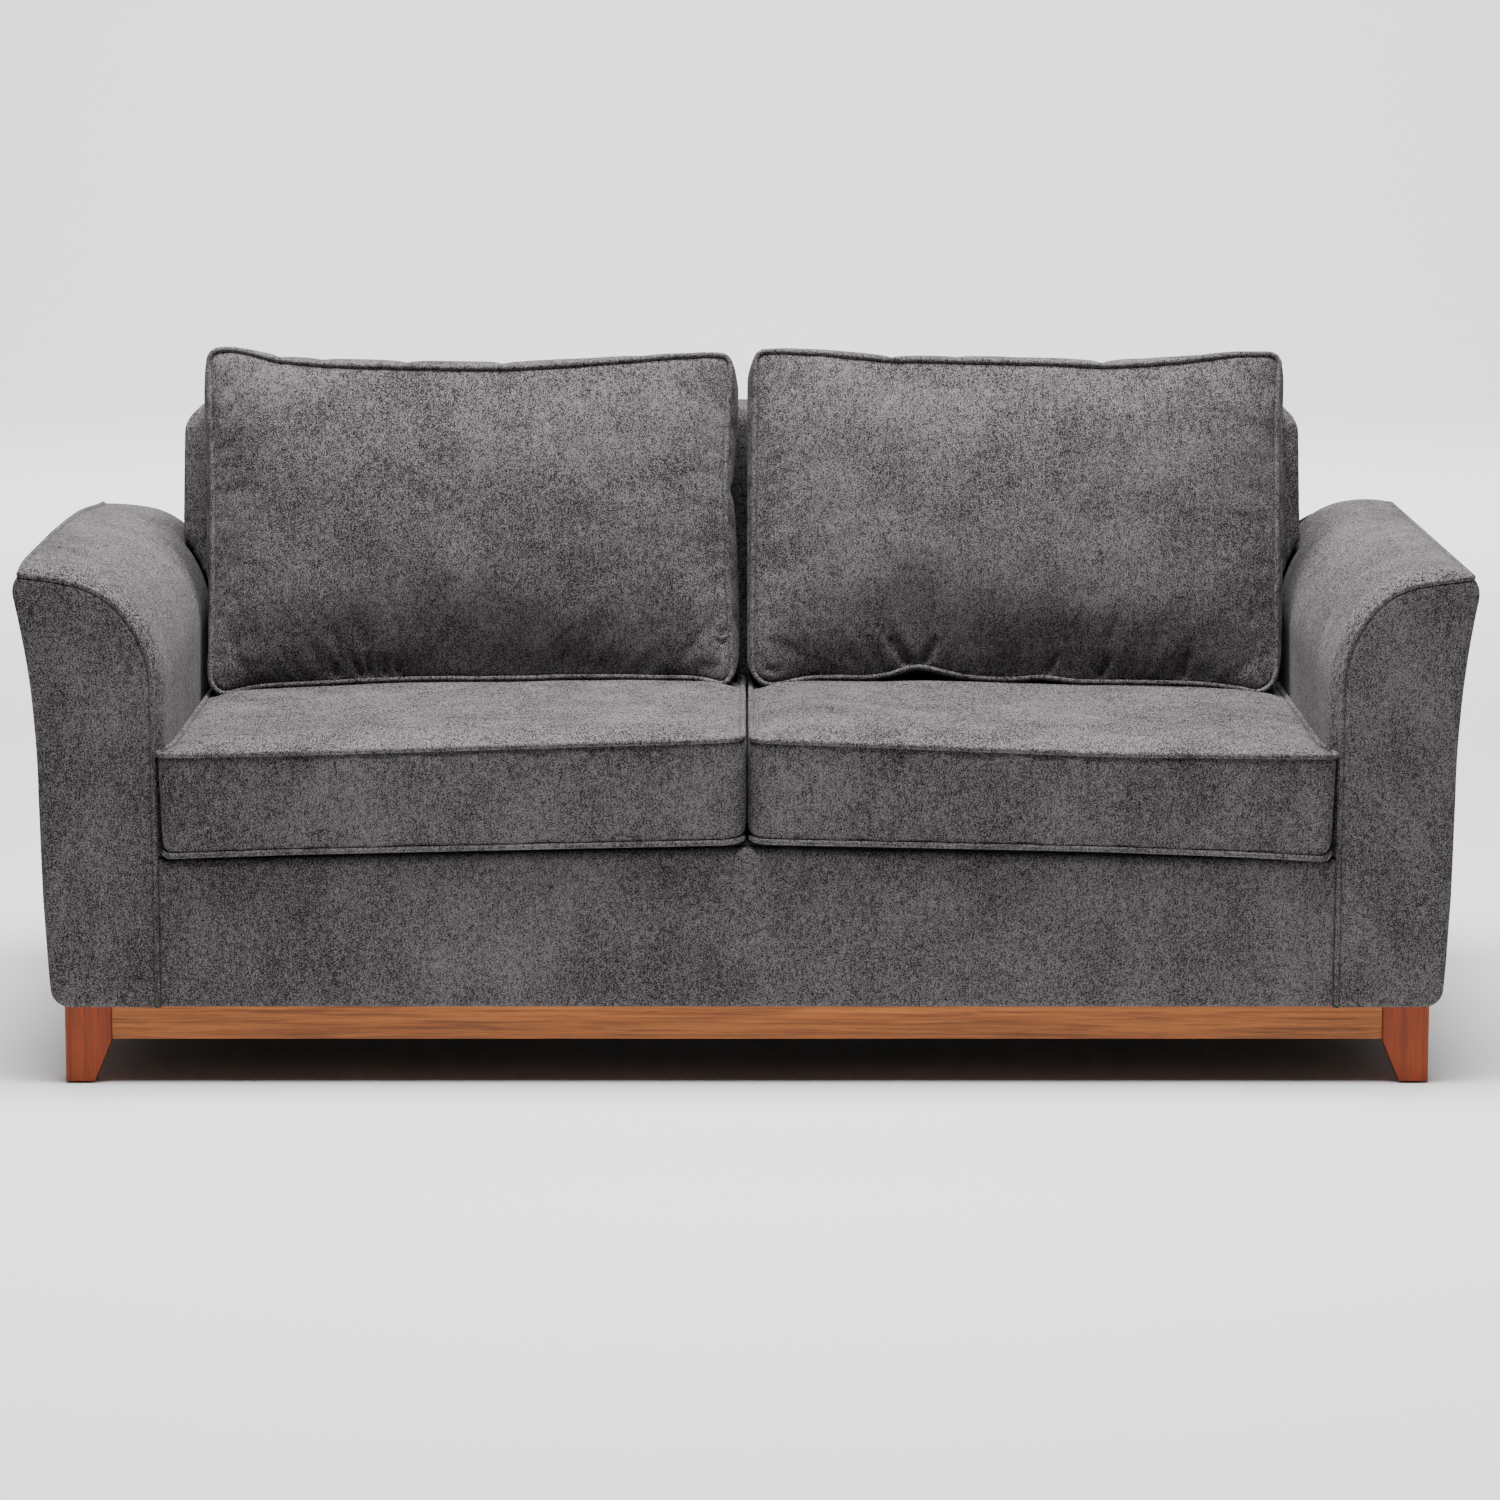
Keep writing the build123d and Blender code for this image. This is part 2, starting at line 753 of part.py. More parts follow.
with BuildPart() as rear_cover:
    with BuildSketch(front_view(sofa_rear)) as silhouette:
        shoulder_face(arm_pad_proud, base_underside)
        side_face(0, cut_overrun, Mode.INTERSECT)
        with Locations((half_opening / 2, (base_underside + shoulder_start_height) / 2)):
            Rectangle(half_opening, shoulder_start_height - base_underside)
        with Locations((back_width / 4, (deck_edge_height + back_height) / 2)):
            Rectangle(back_width / 2, back_height - deck_edge_height)
        mirror(about=Plane.YZ)
        fillet(silhouette.vertices().group_by(Axis.Y)[-1], back_corner_radius)
    extrude(amount=rear_cover_thickness)
keep(rear_cover, "rear_cover")


# Loose cushions
# Corners run anticlockwise from the lower left. Sides run low, right, high, left.
def moved_out(corners, low, right, high, left):
    """Corners moved outwards, each side by its own distance."""
    steps = ((-left, -low), (right, -low), (right, high), (-left, high))
    return [(x + dx, y + dy) for (x, y), (dx, dy) in zip(corners, steps)]


def seam_points(plane, corners, draws, radius, size=1):
    """Closed outline in short chords, its sides drawn in between rounded corners.

    It starts at the middle of its lower side, and size shrinks it about its centre.
    """
    corners = [Vector(*corner) for corner in corners]
    centre = sum(corners, Vector()) / len(corners)
    runs = [end - start for start, end in zip(corners, corners[1:] + corners[:1])]
    points = []
    for corner, run, last_run, draw in zip(corners, runs, runs[-1:] + runs[:-1], draws):
        along = run.normalized()
        inward = Vector(-along.Y, along.X)
        points.append(corner + (along - last_run.normalized()) * radius * corner_cut_share)
        chords = 2 * max(1, math.ceil(draw / chord_draw))
        for step in range(chords + 1):
            share = step / chords
            drawn_in = draw * 4 * share * (1 - share)
            reach = radius + (run.length - 2 * radius) * share
            points.append(corner + along * reach + inward * drawn_in)
    points = [plane.from_local_coords(centre + (point - centre) * size) for point in points]
    return points[lead_count:] + points[:lead_count]


def crown_outlines(plane, corners, draws, radius, rise, shares):
    """Outlines that shrink and climb from a seam to the crown of a cushion."""
    outlines = []
    for inset_share, height_share in shares:
        level = plane.offset(rise * height_share)
        size = 1 - crown_run_share * inset_share
        outlines.append(seam_points(level, corners, draws, radius, size))
    return outlines


def border_outlines(plane, low_corners, high_corners, draws, radius, height, bulges):
    """Outlines of a cushion's border, which bulges between its two seams."""
    outlines = []
    for run_share, rise_share in bulge_shares:
        corners = [
            (low_x + (high_x - low_x) * run_share, low_y + (high_y - low_y) * run_share)
            for (low_x, low_y), (high_x, high_y) in zip(low_corners, high_corners)
        ]
        bulged = moved_out(corners, *[bulge * rise_share for bulge in bulges])
        outlines.append(seam_points(plane.offset(height * run_share), bulged, draws, radius))
    return outlines


def cushion_skin(outlines):
    """Closed cushion whose flat facets join each outline to the next."""
    faces = [Face(Wire.make_polygon(outlines[end])) for end in (0, -1)]
    for low, high in zip(outlines, outlines[1:]):
        for index in range(len(low)):
            corners = (low[index - 1], low[index], high[index], high[index - 1])
            faces.append(Face(Wire.make_polygon(corners[:3])))
            faces.append(Face(Wire.make_polygon((corners[0], *corners[2:]))))
    with BuildPart() as cushion:
        add(Solid(Shell(faces)))
    return cushion


def cushion_piping(planes, outlines, draws, radius):
    """Piping in both seams of a cushion."""
    with BuildPart() as piping:
        for plane, corners in zip(planes, outlines):
            with BuildLine() as seam:
                Polyline(*seam_points(plane, corners, draws, radius), close=True)
            path = seam.wires()[0]
            with BuildSketch(Plane(origin=path @ 0, z_dir=path % 0)) as section:
                RegularPolygon(piping_radius, piping_sides)
            sweep(section.sketch, path=path, transition=Transition.RIGHT)
    return piping


def zip_fastener(plane):
    """Zip tape with its closed chain, lying on a border."""
    with BuildPart() as fastener:
        with BuildSketch(plane):
            Rectangle(zip_length, zip_tape_width)
        extrude(amount=zip_tape_thickness)
        with BuildSketch(plane.offset(zip_tape_thickness)):
            Rectangle(zip_length - zip_tape_width, zip_chain_width)
        extrude(amount=zip_chain_thickness)
    return fastener


slope_sine = math.sin(math.radians(seat_slope))
slope_cosine = math.cos(math.radians(seat_slope))
seat_width = arm_pad_inner - seat_side_gap - seat_centre_gap - seat_border * slope_sine
seat_depth = back_face - seat_rear_gap - sofa_front
seat_middle_y = (sofa_front + back_face - seat_rear_gap) / 2
seat_middle_x = seat_centre_gap + seat_width / 2

for side, name in ((-1, "left"), (1, "right")):
    seat_plane = Plane(
        origin=(
            side * seat_middle_x,
            seat_middle_y,
            deck_height(seat_middle_x) + seam_offset,
        ),
        x_dir=(slope_cosine, 0, -side * slope_sine),
        z_dir=(side * slope_sine, 0, slope_cosine),
    )
    half_w = seat_width / 2 - piping_radius
    half_d = seat_depth / 2 - piping_radius
    seam = [(-half_w, -half_d), (half_w, -half_d), (half_w, half_d), (-half_w, half_d)]
    body = moved_out(seam, *[-cushion_seam_offset] * 4)
    bulges = [seat_bulge, seat_bulge, 0, seat_bulge]
    draws = [seat_draw, seat_draw, 0, seat_draw]
    radius = seat_corner_radius
    top_plane = seat_plane.offset(seat_border)
    underside = crown_outlines(seat_plane, body, draws, radius, -piping_radius, flat_shares)
    border = border_outlines(seat_plane, body, body, draws, radius, seat_border, bulges)
    top = crown_outlines(top_plane, body, draws, radius, seat_crown, crown_shares)
    keep(cushion_skin(underside[::-1] + border + top), f"seat_cushion_{name}")
    keep(
        cushion_piping((seat_plane, top_plane), (seam, seam), draws, radius),
        f"seat_piping_{name}",
    )
    zip_origin = seat_plane.from_local_coords((0, half_d - piping_radius, seat_border / 2))
    zip_plane = Plane(origin=zip_origin, x_dir=seat_plane.x_dir, z_dir=(0, 1, 0))
    keep(zip_fastener(zip_plane), f"seat_zip_{name}")

# Back cushions stand on the seat cushions and lean on the back
seat_top_edge = deck_edge_height + seam_offset + seat_border
rear_seam_origin = Vector(0, back_face, back_knee_height) + (
    Vector(0, -rake_cosine, rake_sine) * seam_offset
)


def slope_height(x, height):
    """Height of a seat-sloped line, given at the middle of the sofa."""
    return height - seat_fall * abs(x) / slope_run


def up_slope(z, depth):
    """Distance up the raked plane, at a depth in front of it, that reaches height z."""
    return (z - rear_seam_origin.Z - depth * rake_sine) / rake_cosine


cushion_foot = seat_top_edge + seat_fall + seat_crown + fit_gap + piping_radius
for side, name in ((-1, "left"), (1, "right")):
    rear_plane = Plane(
        origin=rear_seam_origin, x_dir=(1, 0, 0), z_dir=(0, -rake_cosine, rake_sine)
    )
    front_plane = rear_plane.offset(cushion_thickness)
    inner = side * (cushion_centre_gap + piping_radius)
    outer_low = side * (cushion_outer_bottom - piping_radius)
    outer_high = side * (cushion_outer_top - piping_radius)
    ears = up_slope(cushion_top_height - piping_radius, cushion_thickness)
    seams = []
    for depth in (0, cushion_thickness):
        inner_low = (inner, up_slope(slope_height(inner, cushion_foot), depth))
        outer_foot = (outer_low, up_slope(slope_height(outer_low, cushion_foot), depth))
        seam = [inner_low, outer_foot, (outer_high, ears), (inner, ears)]
        if side < 0:
            seam = [seam[1], seam[0], seam[3], seam[2]]
        seams.append(seam)
    bodies = [moved_out(seam, *[-cushion_seam_offset] * 4) for seam in seams]
    bulges = [0, cushion_bulge, cushion_bulge, cushion_bulge]
    draws = [0, cushion_side_draw, cushion_top_draw, cushion_side_draw]
    radius = cushion_corner_radius
    rear = crown_outlines(rear_plane, bodies[0], draws, radius, -piping_radius, flat_shares)
    border = border_outlines(rear_plane, *bodies, draws, radius, cushion_thickness, bulges)
    front = crown_outlines(
        front_plane, bodies[1], draws, radius, cushion_crown, crown_shares
    )
    keep(cushion_skin(rear[::-1] + border + front), f"back_cushion_{name}")
    keep(
        cushion_piping((rear_plane, front_plane), seams, draws, radius),
        f"back_piping_{name}",
    )
    border_foot = [
        plane.from_local_coords(
            (
                (corners[0][0] + corners[1][0]) / 2,
                (corners[0][1] + corners[1][1]) / 2,
                0,
            )
        )
        for plane, corners in zip((rear_plane, front_plane), seams)
    ]
    zip_middle = (border_foot[0] + border_foot[1]) / 2
    zip_plane = Plane(
        origin=zip_middle + Vector(0, 0, piping_radius),
        x_dir=(slope_cosine, 0, -side * slope_sine),
        z_dir=(-side * slope_sine, 0, -slope_cosine),
    )
    keep(zip_fastener(zip_plane), f"back_zip_{name}")
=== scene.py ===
"""Looks of a two-seat sofa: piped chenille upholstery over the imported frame, on a wooden plinth."""

import json
import math

import bmesh
import bpy
import numpy as np
from bpy.props import FloatProperty, FloatVectorProperty, PointerProperty
from mathutils import Matrix, Vector, noise
from mathutils.bvhtree import BVHTree


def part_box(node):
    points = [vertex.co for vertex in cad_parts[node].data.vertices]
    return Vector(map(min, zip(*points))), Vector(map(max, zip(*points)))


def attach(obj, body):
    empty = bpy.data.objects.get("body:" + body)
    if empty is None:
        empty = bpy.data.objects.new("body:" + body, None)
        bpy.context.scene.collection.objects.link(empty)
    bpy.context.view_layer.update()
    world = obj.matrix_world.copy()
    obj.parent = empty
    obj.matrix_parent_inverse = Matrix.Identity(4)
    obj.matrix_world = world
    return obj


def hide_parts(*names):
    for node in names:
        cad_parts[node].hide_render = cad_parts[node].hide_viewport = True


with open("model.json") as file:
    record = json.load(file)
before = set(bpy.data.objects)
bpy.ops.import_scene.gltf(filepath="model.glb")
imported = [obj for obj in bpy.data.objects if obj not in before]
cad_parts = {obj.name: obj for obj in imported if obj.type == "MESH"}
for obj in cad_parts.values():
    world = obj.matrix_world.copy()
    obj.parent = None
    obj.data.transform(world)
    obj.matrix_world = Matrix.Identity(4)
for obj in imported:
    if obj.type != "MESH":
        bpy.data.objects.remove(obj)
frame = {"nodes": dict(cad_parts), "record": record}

bl_info = {
    "name": "Piped sofa",
    "version": (1, 0, 0),
    "blender": (4, 5, 0),
    "location": "View3D > Sidebar > Sofa",
    "description": "Upholsters a packed sofa frame and sets up its studio",
    "category": "Add Mesh",
}

MM = 0.001
SIDES = (("left", -1), ("right", 1))

# Sizes of the frame, in metres, as on the solids
HALF_OPENING = 0.798
ARM_OUTER = 0.948
ARM_REACH = 0.977
ARM_HEIGHT = 0.694
BASE_UNDERSIDE = 0.107
SHOULDER_START = 0.542
LOWER_SHOULDER_RADIUS = 0.165
LOWER_SHOULDER_ANGLE = 40
UPPER_SHOULDER_RADIUS = 0.1066
UPPER_SHOULDER_ANGLE = 41
TIP_SETBACK = 0.007
TIP_DROP = 0.029
TIP_PAD_SHARE = 0.25
FLARE_START = 0.4
FOOT_TUCK = 0.006
FOOT_CORNER = 0.024
ARM_PAD_PROUD = 0.013
ARM_BOARD_INSET = 0.008
CROWN_LENGTH = 0.06
SEAM_OFFSET = 0.0043
SEAM_INSET = 0.0032
OUTER_PANEL = 0.006
SEAT_FALL = 0.0175
DECK_EDGE = 0.3167
SEAT_BORDER = 0.132
BACK_RAKE = math.radians(15)
BACK_FACE = 0.231
BACK_KNEE = 0.465
BACK_HALF = 0.826
BACK_TOP = 0.852
BACK_CORNER = 0.04
CUSHION_THICKNESS = 0.15
CUSHION_TOP = 0.947
SEAT_RADIUS = 0.026
INNER_RADIUS = 0.03
OUTER_SWELL = 0.006
LEFT_THINNING = 0.3
BACK_SHIFT = 0.008
CUSHION_PARTING = -0.0052
HALF_PARTING = 0.0055
SQUEEZE_START = -0.427
BACK_LOW_REACH = 0.781
BACK_REACH_TOP = 0.62
LINING_FRONT = -0.4126
FELT_FRONT = -0.4106

# Gaps between touching pieces, from the back cushions' piping and covers down to the seat, and how
# far a cushion's rear or underside may bulge
CLEARANCE = 0.3 * MM
PIPING_GAP = 0.6 * MM
COVER_GAP = 0.5 * MM
REAR_BULGE = 3.5 * MM

# Corners of one square of a grid, as steps along its rows and columns
SQUARE = ((0, 0), (1, 0), (1, 1), (0, 1))

# How far the outer side of an arm swells: knots of (height, share of OUTER_SWELL)
OUTER_SWELL_KNOTS = (
    (BASE_UNDERSIDE, 0), (0.16, 0.5), (0.26, 1), (0.5, 0.9), (0.6, 0.6), (0.665, 0.35),
    (0.685, 0.2), (ARM_HEIGHT, 0),
)
# The left arm's top edge is fuller than the right one's: knots of (share of the depth, share of
# the swell), how far it swells across and up, and where that starts and over what width
LEFT_SWELL = (
    (0, 0.3), (0.06, 0.6), (0.117, 0.78), (0.26, 0.87), (0.44, 1), (0.6, 0.98), (0.76, 0.83),
    (0.86, 0.5), (0.95, 0.12), (1, 0),
)
LEFT_SWELL_ACROSS = 0.009
LEFT_SWELL_UP = 0.013
LEFT_SWELL_FROM_X = (0.84, 0.11)
LEFT_SWELL_FROM_Z = (0.54, 0.14)
# How far the seat cushions' front top seam rises, their front low seam droops and their rear dips,
# as knots of (share of the way from the middle to the arm, metres)
SEAT_SHAPES = {
    "left": {
        "rise": ((0, 0.0075), (0.1, 0.006), (0.4, 0.004), (0.8, 0.0017), (1, 0.0025)),
        "droop": ((0, 0.001), (0.8, 0.001), (1, 0.003)),
        "dip": ((0, 0.007), (0.13, 0.0065), (0.3, 0.002), (0.5, 0), (1, 0)),
    },
    "right": {
        "rise": ((0, 0.0055), (0.1, 0.005), (0.6, -0.0027), (0.78, -0.0015), (1, 0.001)),
        "droop": ((0, 0), (0.6, 0), (0.85, 0.003), (1, 0.007)),
        "dip": ((0, 0.0085), (0.1, 0.0085), (0.3, 0.005), (0.5, 0.002), (1, 0.001)),
    },
}

# Shape of each back cushion's front seam as seen from the front: where its low and high corners
# are, how far its ears stand up, its corner radii, and for each side knots of (share along it,
# metres drawn in). Lifts raise the low seam off the seat. A fold runs from (share, height) to
# (share, height), and then come its width and its depth.
BACK_SHAPES = {
    "left": {
        "low": (-0.777, -0.017),
        "high": (-0.786, -0.0195),
        "ears": (0.0046, -0.0046),
        "radii": (0.024, 0.018, 0.016, 0.018),
        "top": (
            (0, 0), (0.03, 0), (0.07, 0.007), (0.124, 0.016), (0.2, 0.021), (0.35, 0.023),
            (0.47, 0.024), (0.58, 0.023), (0.69, 0.018), (0.78, 0.012), (0.88, 0.005), (0.97, 0),
            (1, 0),
        ),
        "left": ((0, 0), (0.3, 0.0035), (0.6, 0.0045), (0.85, 0.002), (1, 0)),
        "right": ((0, 0), (0.3, 0.006), (0.6, 0.009), (0.8, 0.006), (1, 0)),
        "lifts": ((0, 0), (1, 0)),
        "folds": (
            (0.239, 0, 0.222, 0.034, 0.0042, 0.007),
            (0.286, 0, 0.262, 0.038, 0.0042, 0.009),
            (0.301, 0, 0.291, 0.036, 0.004, 0.009),
            (0.33, 0, 0.325, 0.034, 0.0042, 0.009),
            (0.357, 0, 0.35, 0.03, 0.004, 0.007),
            (1, 0.055, 0.968, 0.058, 0.0036, 0.006),
            (1, 0.07, 0.972, 0.068, 0.0036, 0.005),
        ),
    },
    "right": {
        "low": (0.003, 0.766),
        "high": (0.009, 0.777),
        "ears": (0.001, -0.0025),
        "radii": (0.028, 0.031, 0.016, 0.014),
        "top": (
            (0, 0), (0.03, 0), (0.126, 0.003), (0.255, 0.0125), (0.31, 0.0115), (0.39, 0.0135),
            (0.53, 0.0145), (0.676, 0.019), (0.77, 0.0155), (0.855, 0.0084), (0.935, 0.0017),
            (1, 0),
        ),
        "left": ((0, 0), (1, 0)),
        "right": ((0, 0), (0.5, 0), (0.8, 0.003), (1, 0)),
        "lifts": (
            (0, 0), (0.2, 0), (0.25, 0.005), (0.275, 0.014), (0.303, 0.018), (0.331, 0.013),
            (0.371, 0.005), (0.42, 0), (0.51, 0), (0.535, 0.003), (0.561, 0.007), (0.6, 0.002),
            (0.65, 0), (1, 0),
        ),
        "folds": (
            (0.29, 0.005, 0.255, 0.05, 0.007, 0.009),
            (0.325, 0.005, 0.352, 0.045, 0.006, 0.007),
            (0.565, 0, 0.59, 0.036, 0.005, 0.006),
            (0.668, 0, 0.69, 0.034, 0.0048, 0.008),
            (0.834, 0, 0.842, 0.042, 0.0048, 0.009),
            (0.883, 0, 0.886, 0.022, 0.0042, 0.005),
            (0.018, 0.02, 0.045, 0.012, 0.004, 0.005),
        ),
    },
}


def box_of(node):
    """Lowest and highest corner of a CAD node."""
    low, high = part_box(node)
    return np.array(low), np.array(high)


PANEL_LOW, PANEL_HIGH = box_of("arm_front_panel_right")
PAD_LOW, PAD_HIGH = box_of("arm_pad_right")
SEAT_LOW, SEAT_HIGH = box_of("seat_piping_right")
BASE_LOW, BASE_HIGH = box_of("base_front_panel")


# Outlines: arrays of (across, up) points
def arc_to(start, heading, end, steps):
    """Points after start on the arc that leaves it along heading and ends at end."""
    start, end = np.array(start, float), np.array(end, float)
    heading = np.array(heading, float) / np.linalg.norm(heading)
    left = np.array((-heading[1], heading[0]))
    chord = end - start
    turn = 2 * math.atan2(chord @ left, chord @ heading)
    centre = start + left * (chord @ chord) / (2 * (chord @ left))
    return turned(start, centre, heading, turn, steps)


def arc_right(start, heading, radius, angle, steps):
    """Points after start on an arc of a given radius that turns right by an angle."""
    start, heading = np.array(start, float), np.array(heading, float)
    centre = start + radius * np.array((heading[1], -heading[0]))
    return turned(start, centre, heading, -angle, steps)


def turned(start, centre, heading, angle, steps):
    """Points that turn about a centre, and the heading at the last of them."""
    points = []
    for step in range(1, steps + 1):
        turn = Matrix.Rotation(angle * step / steps, 2)
        points.append(centre + np.array(turn @ Vector(start - centre)))
    return points, np.array(Matrix.Rotation(angle, 2) @ Vector(heading))


def spaced(points, count, ease=0.0):
    """The same line as count points, evenly spaced or, with ease, closer at both ends."""
    points = np.asarray(points, float)
    steps = np.linalg.norm(np.diff(points, axis=0), axis=1)
    along = np.concatenate(([0.0], np.cumsum(steps)))
    share = np.linspace(0, 1, count)
    share = (1 - ease) * share + ease * (0.5 - 0.5 * np.cos(math.pi * share))
    wanted = share * along[-1]
    columns = [np.interp(wanted, along, points[:, axis]) for axis in range(points.shape[1])]
    return np.column_stack(columns)


def shoulder_points(proud, foot):
    """Inner edge of the right arm from its foot over the shoulder to the tip."""
    inner = HALF_OPENING - proud
    points = [np.array((inner, foot)), np.array((inner, SHOULDER_START))]
    heading = np.array((0.0, 1.0))
    turns = (
        (LOWER_SHOULDER_RADIUS, LOWER_SHOULDER_ANGLE),
        (UPPER_SHOULDER_RADIUS, UPPER_SHOULDER_ANGLE),
    )
    for radius, angle in turns:
        arc, heading = arc_right(points[-1], heading, radius + proud, math.radians(angle), 14)
        points += arc
    rise = proud * TIP_PAD_SHARE if proud > 0 else proud
    tip = (ARM_REACH - TIP_SETBACK, ARM_HEIGHT + rise)
    arc, _ = arc_to(points[-1], heading, tip, 14)
    return np.array(points + arc)


def side_points(inset):
    """Outer side of the right arm from its tucked foot up the flare to the tip."""
    outer = ARM_OUTER - inset
    low = BASE_UNDERSIDE + inset
    corner = FOOT_CORNER - inset
    points = [np.array((outer - FOOT_TUCK - corner, low))]
    heel, _ = arc_to(points[-1], (1, 0), (outer - FOOT_TUCK, low + corner), 10)
    points += heel
    points.append(np.array((outer, FLARE_START)))
    flare, heading = arc_to(points[-1], (0, 1), (ARM_REACH - inset, ARM_HEIGHT - TIP_DROP), 20)
    tip, _ = arc_to(flare[-1], heading, (ARM_REACH - TIP_SETBACK - inset, ARM_HEIGHT), 6)
    line = spaced(points + flare + tip, 160)
    line[:, 0] += OUTER_SWELL * np.interp(line[:, 1], *np.transpose(OUTER_SWELL_KNOTS))
    return line


def stations(low, high, count, ease=0.0):
    """Places from low to high, evenly spaced or, with ease, closer at both ends."""
    return spaced([(low, 0), (high, 0)], count, ease)[:, 0]


def grid_of(x, y, z):
    """Points from their coordinates, each a grid, a row, a column or one number."""
    return np.stack(np.broadcast_arrays(x, y, z), axis=-1)


def in_depth(points, depth):
    """Front-view points placed at a depth."""
    return grid_of(points[:, 0], depth, points[:, 1])


def rising(values, start, width):
    """Share that rises from 0 at a start to 1 after a width, with a soft start and end."""
    share = ((values - start) / width).clip(0, 1)
    return (3 - 2 * share) * share**2


def roll(away, width, drop):
    """How far a surface has rolled back at a distance from its edge."""
    short = np.clip(1 - away / width, 0, 1)
    return drop * (1 - np.sqrt(1 - short**2))


# Meshes
def grid_normals(grid):
    """Unit normals of a grid of points."""
    normals = np.cross(np.gradient(grid, axis=0), np.gradient(grid, axis=1))
    return normals / np.maximum(np.linalg.norm(normals, axis=2, keepdims=True), 1e-12)


def cloudy(points, size, seed=0.0):
    """Smooth noise, about -1 to 1, at every point, with swells of the given size."""
    flat = np.asarray(points).reshape(-1, 3) / size + seed
    values = [noise.noise(Vector(point)) for point in flat]
    return np.array(values).reshape(np.asarray(points).shape[:-1])


def add_object(name, data):
    """Object of some data, in the scene."""
    piece = bpy.data.objects.new(name, data)
    bpy.context.scene.collection.objects.link(piece)
    return piece


def points_of(piece):
    """The mesh's points as an array."""
    return np.array([vertex.co[:] for vertex in piece.data.vertices])


def set_points(piece, points):
    """Moves the mesh's points to new places."""
    piece.data.vertices.foreach_set("co", np.asarray(points, dtype=np.float32).ravel())
    piece.data.update()


def make_object(name, points, faces, material):
    """Object at the origin with smooth faces that point outwards."""
    mesh = bpy.data.meshes.new(name)
    mesh.from_pydata([tuple(point) for point in points], [], faces)
    cleaned = bmesh.new()
    cleaned.from_mesh(mesh)
    bmesh.ops.remove_doubles(cleaned, verts=cleaned.verts, dist=1e-6)
    bmesh.ops.recalc_face_normals(cleaned, faces=cleaned.faces)
    cleaned.to_mesh(mesh)
    cleaned.free()
    mesh.shade_smooth()
    mesh.materials.append(material)
    return add_object(name, mesh)


def shell(name, layers, material):
    """Closed pieces, each between an outer grid of points and the inner grid behind it."""
    points, faces = [], []
    for outer, inner in layers:
        rows, columns = outer.shape[:2]
        index = np.arange(rows * columns).reshape(rows, columns) + len(points)
        below = rows * columns
        points += [*outer.reshape(-1, 3), *inner.reshape(-1, 3)]
        corners = (index[:-1, :-1], index[:-1, 1:], index[1:, 1:], index[1:, :-1])
        for quad in np.stack(corners, axis=-1).reshape(-1, 4).tolist():
            faces.append(quad)
            faces.append([corner + below for corner in reversed(quad)])
        rim = np.concatenate((index[0], index[1:, -1], index[-1, -2::-1], index[-2:0:-1, 0]))
        for low, high in zip(rim, np.roll(rim, -1)):
            faces.append([int(corner) for corner in (high, low, low + below, high + below)])
    return make_object(name, points, faces, material)


def mirrored(grid):
    """The same points on the other side of the sofa."""
    return grid * np.array((-1, 1, 1))


def fuller(points):
    """Points of the right arm with its outer top edge swollen up and out."""
    points = np.array(points)
    share = (points[..., 1] - PAD_LOW[1]) / (PAD_HIGH[1] - PAD_LOW[1])
    amount = eased(LEFT_SWELL, share.clip(0, 1))
    amount = amount * rising(points[..., 0], *LEFT_SWELL_FROM_X)
    amount = amount * rising(points[..., 2], *LEFT_SWELL_FROM_Z)
    points[..., 0] += LEFT_SWELL_ACROSS * amount
    points[..., 2] += LEFT_SWELL_UP * amount
    return points


def settle(piece, body, slot, *nodes):
    """The piece rides on a body and stands for CAD nodes. The slot is not used."""
    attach(piece, body)
    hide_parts(*nodes)
    return piece


def baked(piece):
    """Turns a piece's modifiers into plain mesh."""
    depsgraph = bpy.context.evaluated_depsgraph_get()
    mesh = bpy.data.meshes.new_from_object(piece.evaluated_get(depsgraph))
    piece.modifiers.clear()
    piece.data = mesh
    return piece


def node_copy(node, name, material):
    """Merged copy of a CAD node's mesh as a piece of its own."""
    source = frame["nodes"][node].data
    points = [vertex.co[:] for vertex in source.vertices]
    faces = [tuple(polygon.vertices) for polygon in source.polygons]
    return make_object(name, points, faces, material)


# Materials
def linear(hex_colour):
    """Linear colour with alpha of an sRGB hex value."""
    channels = [int(hex_colour[place : place + 2], 16) / 255 for place in (1, 3, 5)]
    return [((c + 0.055) / 1.055) ** 2.4 if c > 0.04045 else c / 12.92 for c in channels] + [1]


def add_node(tree, kind, inputs=(), **settings):
    """Adds a node with its settings; an input is a value or the socket that feeds it."""
    node = tree.nodes.new(kind)
    for name, value in settings.items():
        setattr(node, name, value)
    for name, value in dict(inputs).items():
        if isinstance(value, bpy.types.NodeSocket):
            tree.links.new(value, node.inputs[name])
        else:
            node.inputs[name].default_value = value
    return node


def new_material(name):
    """Material with an empty tree, its shader, and the coordinates of the piece it is on."""
    material = bpy.data.materials.new(name)
    material.use_nodes = True
    tree = material.node_tree
    tree.nodes.clear()
    shader = add_node(tree, "ShaderNodeBsdfPrincipled")
    add_node(tree, "ShaderNodeOutputMaterial", {"Surface": shader.outputs["BSDF"]})
    return material, tree, shader, add_node(tree, "ShaderNodeTexCoord").outputs["Object"]


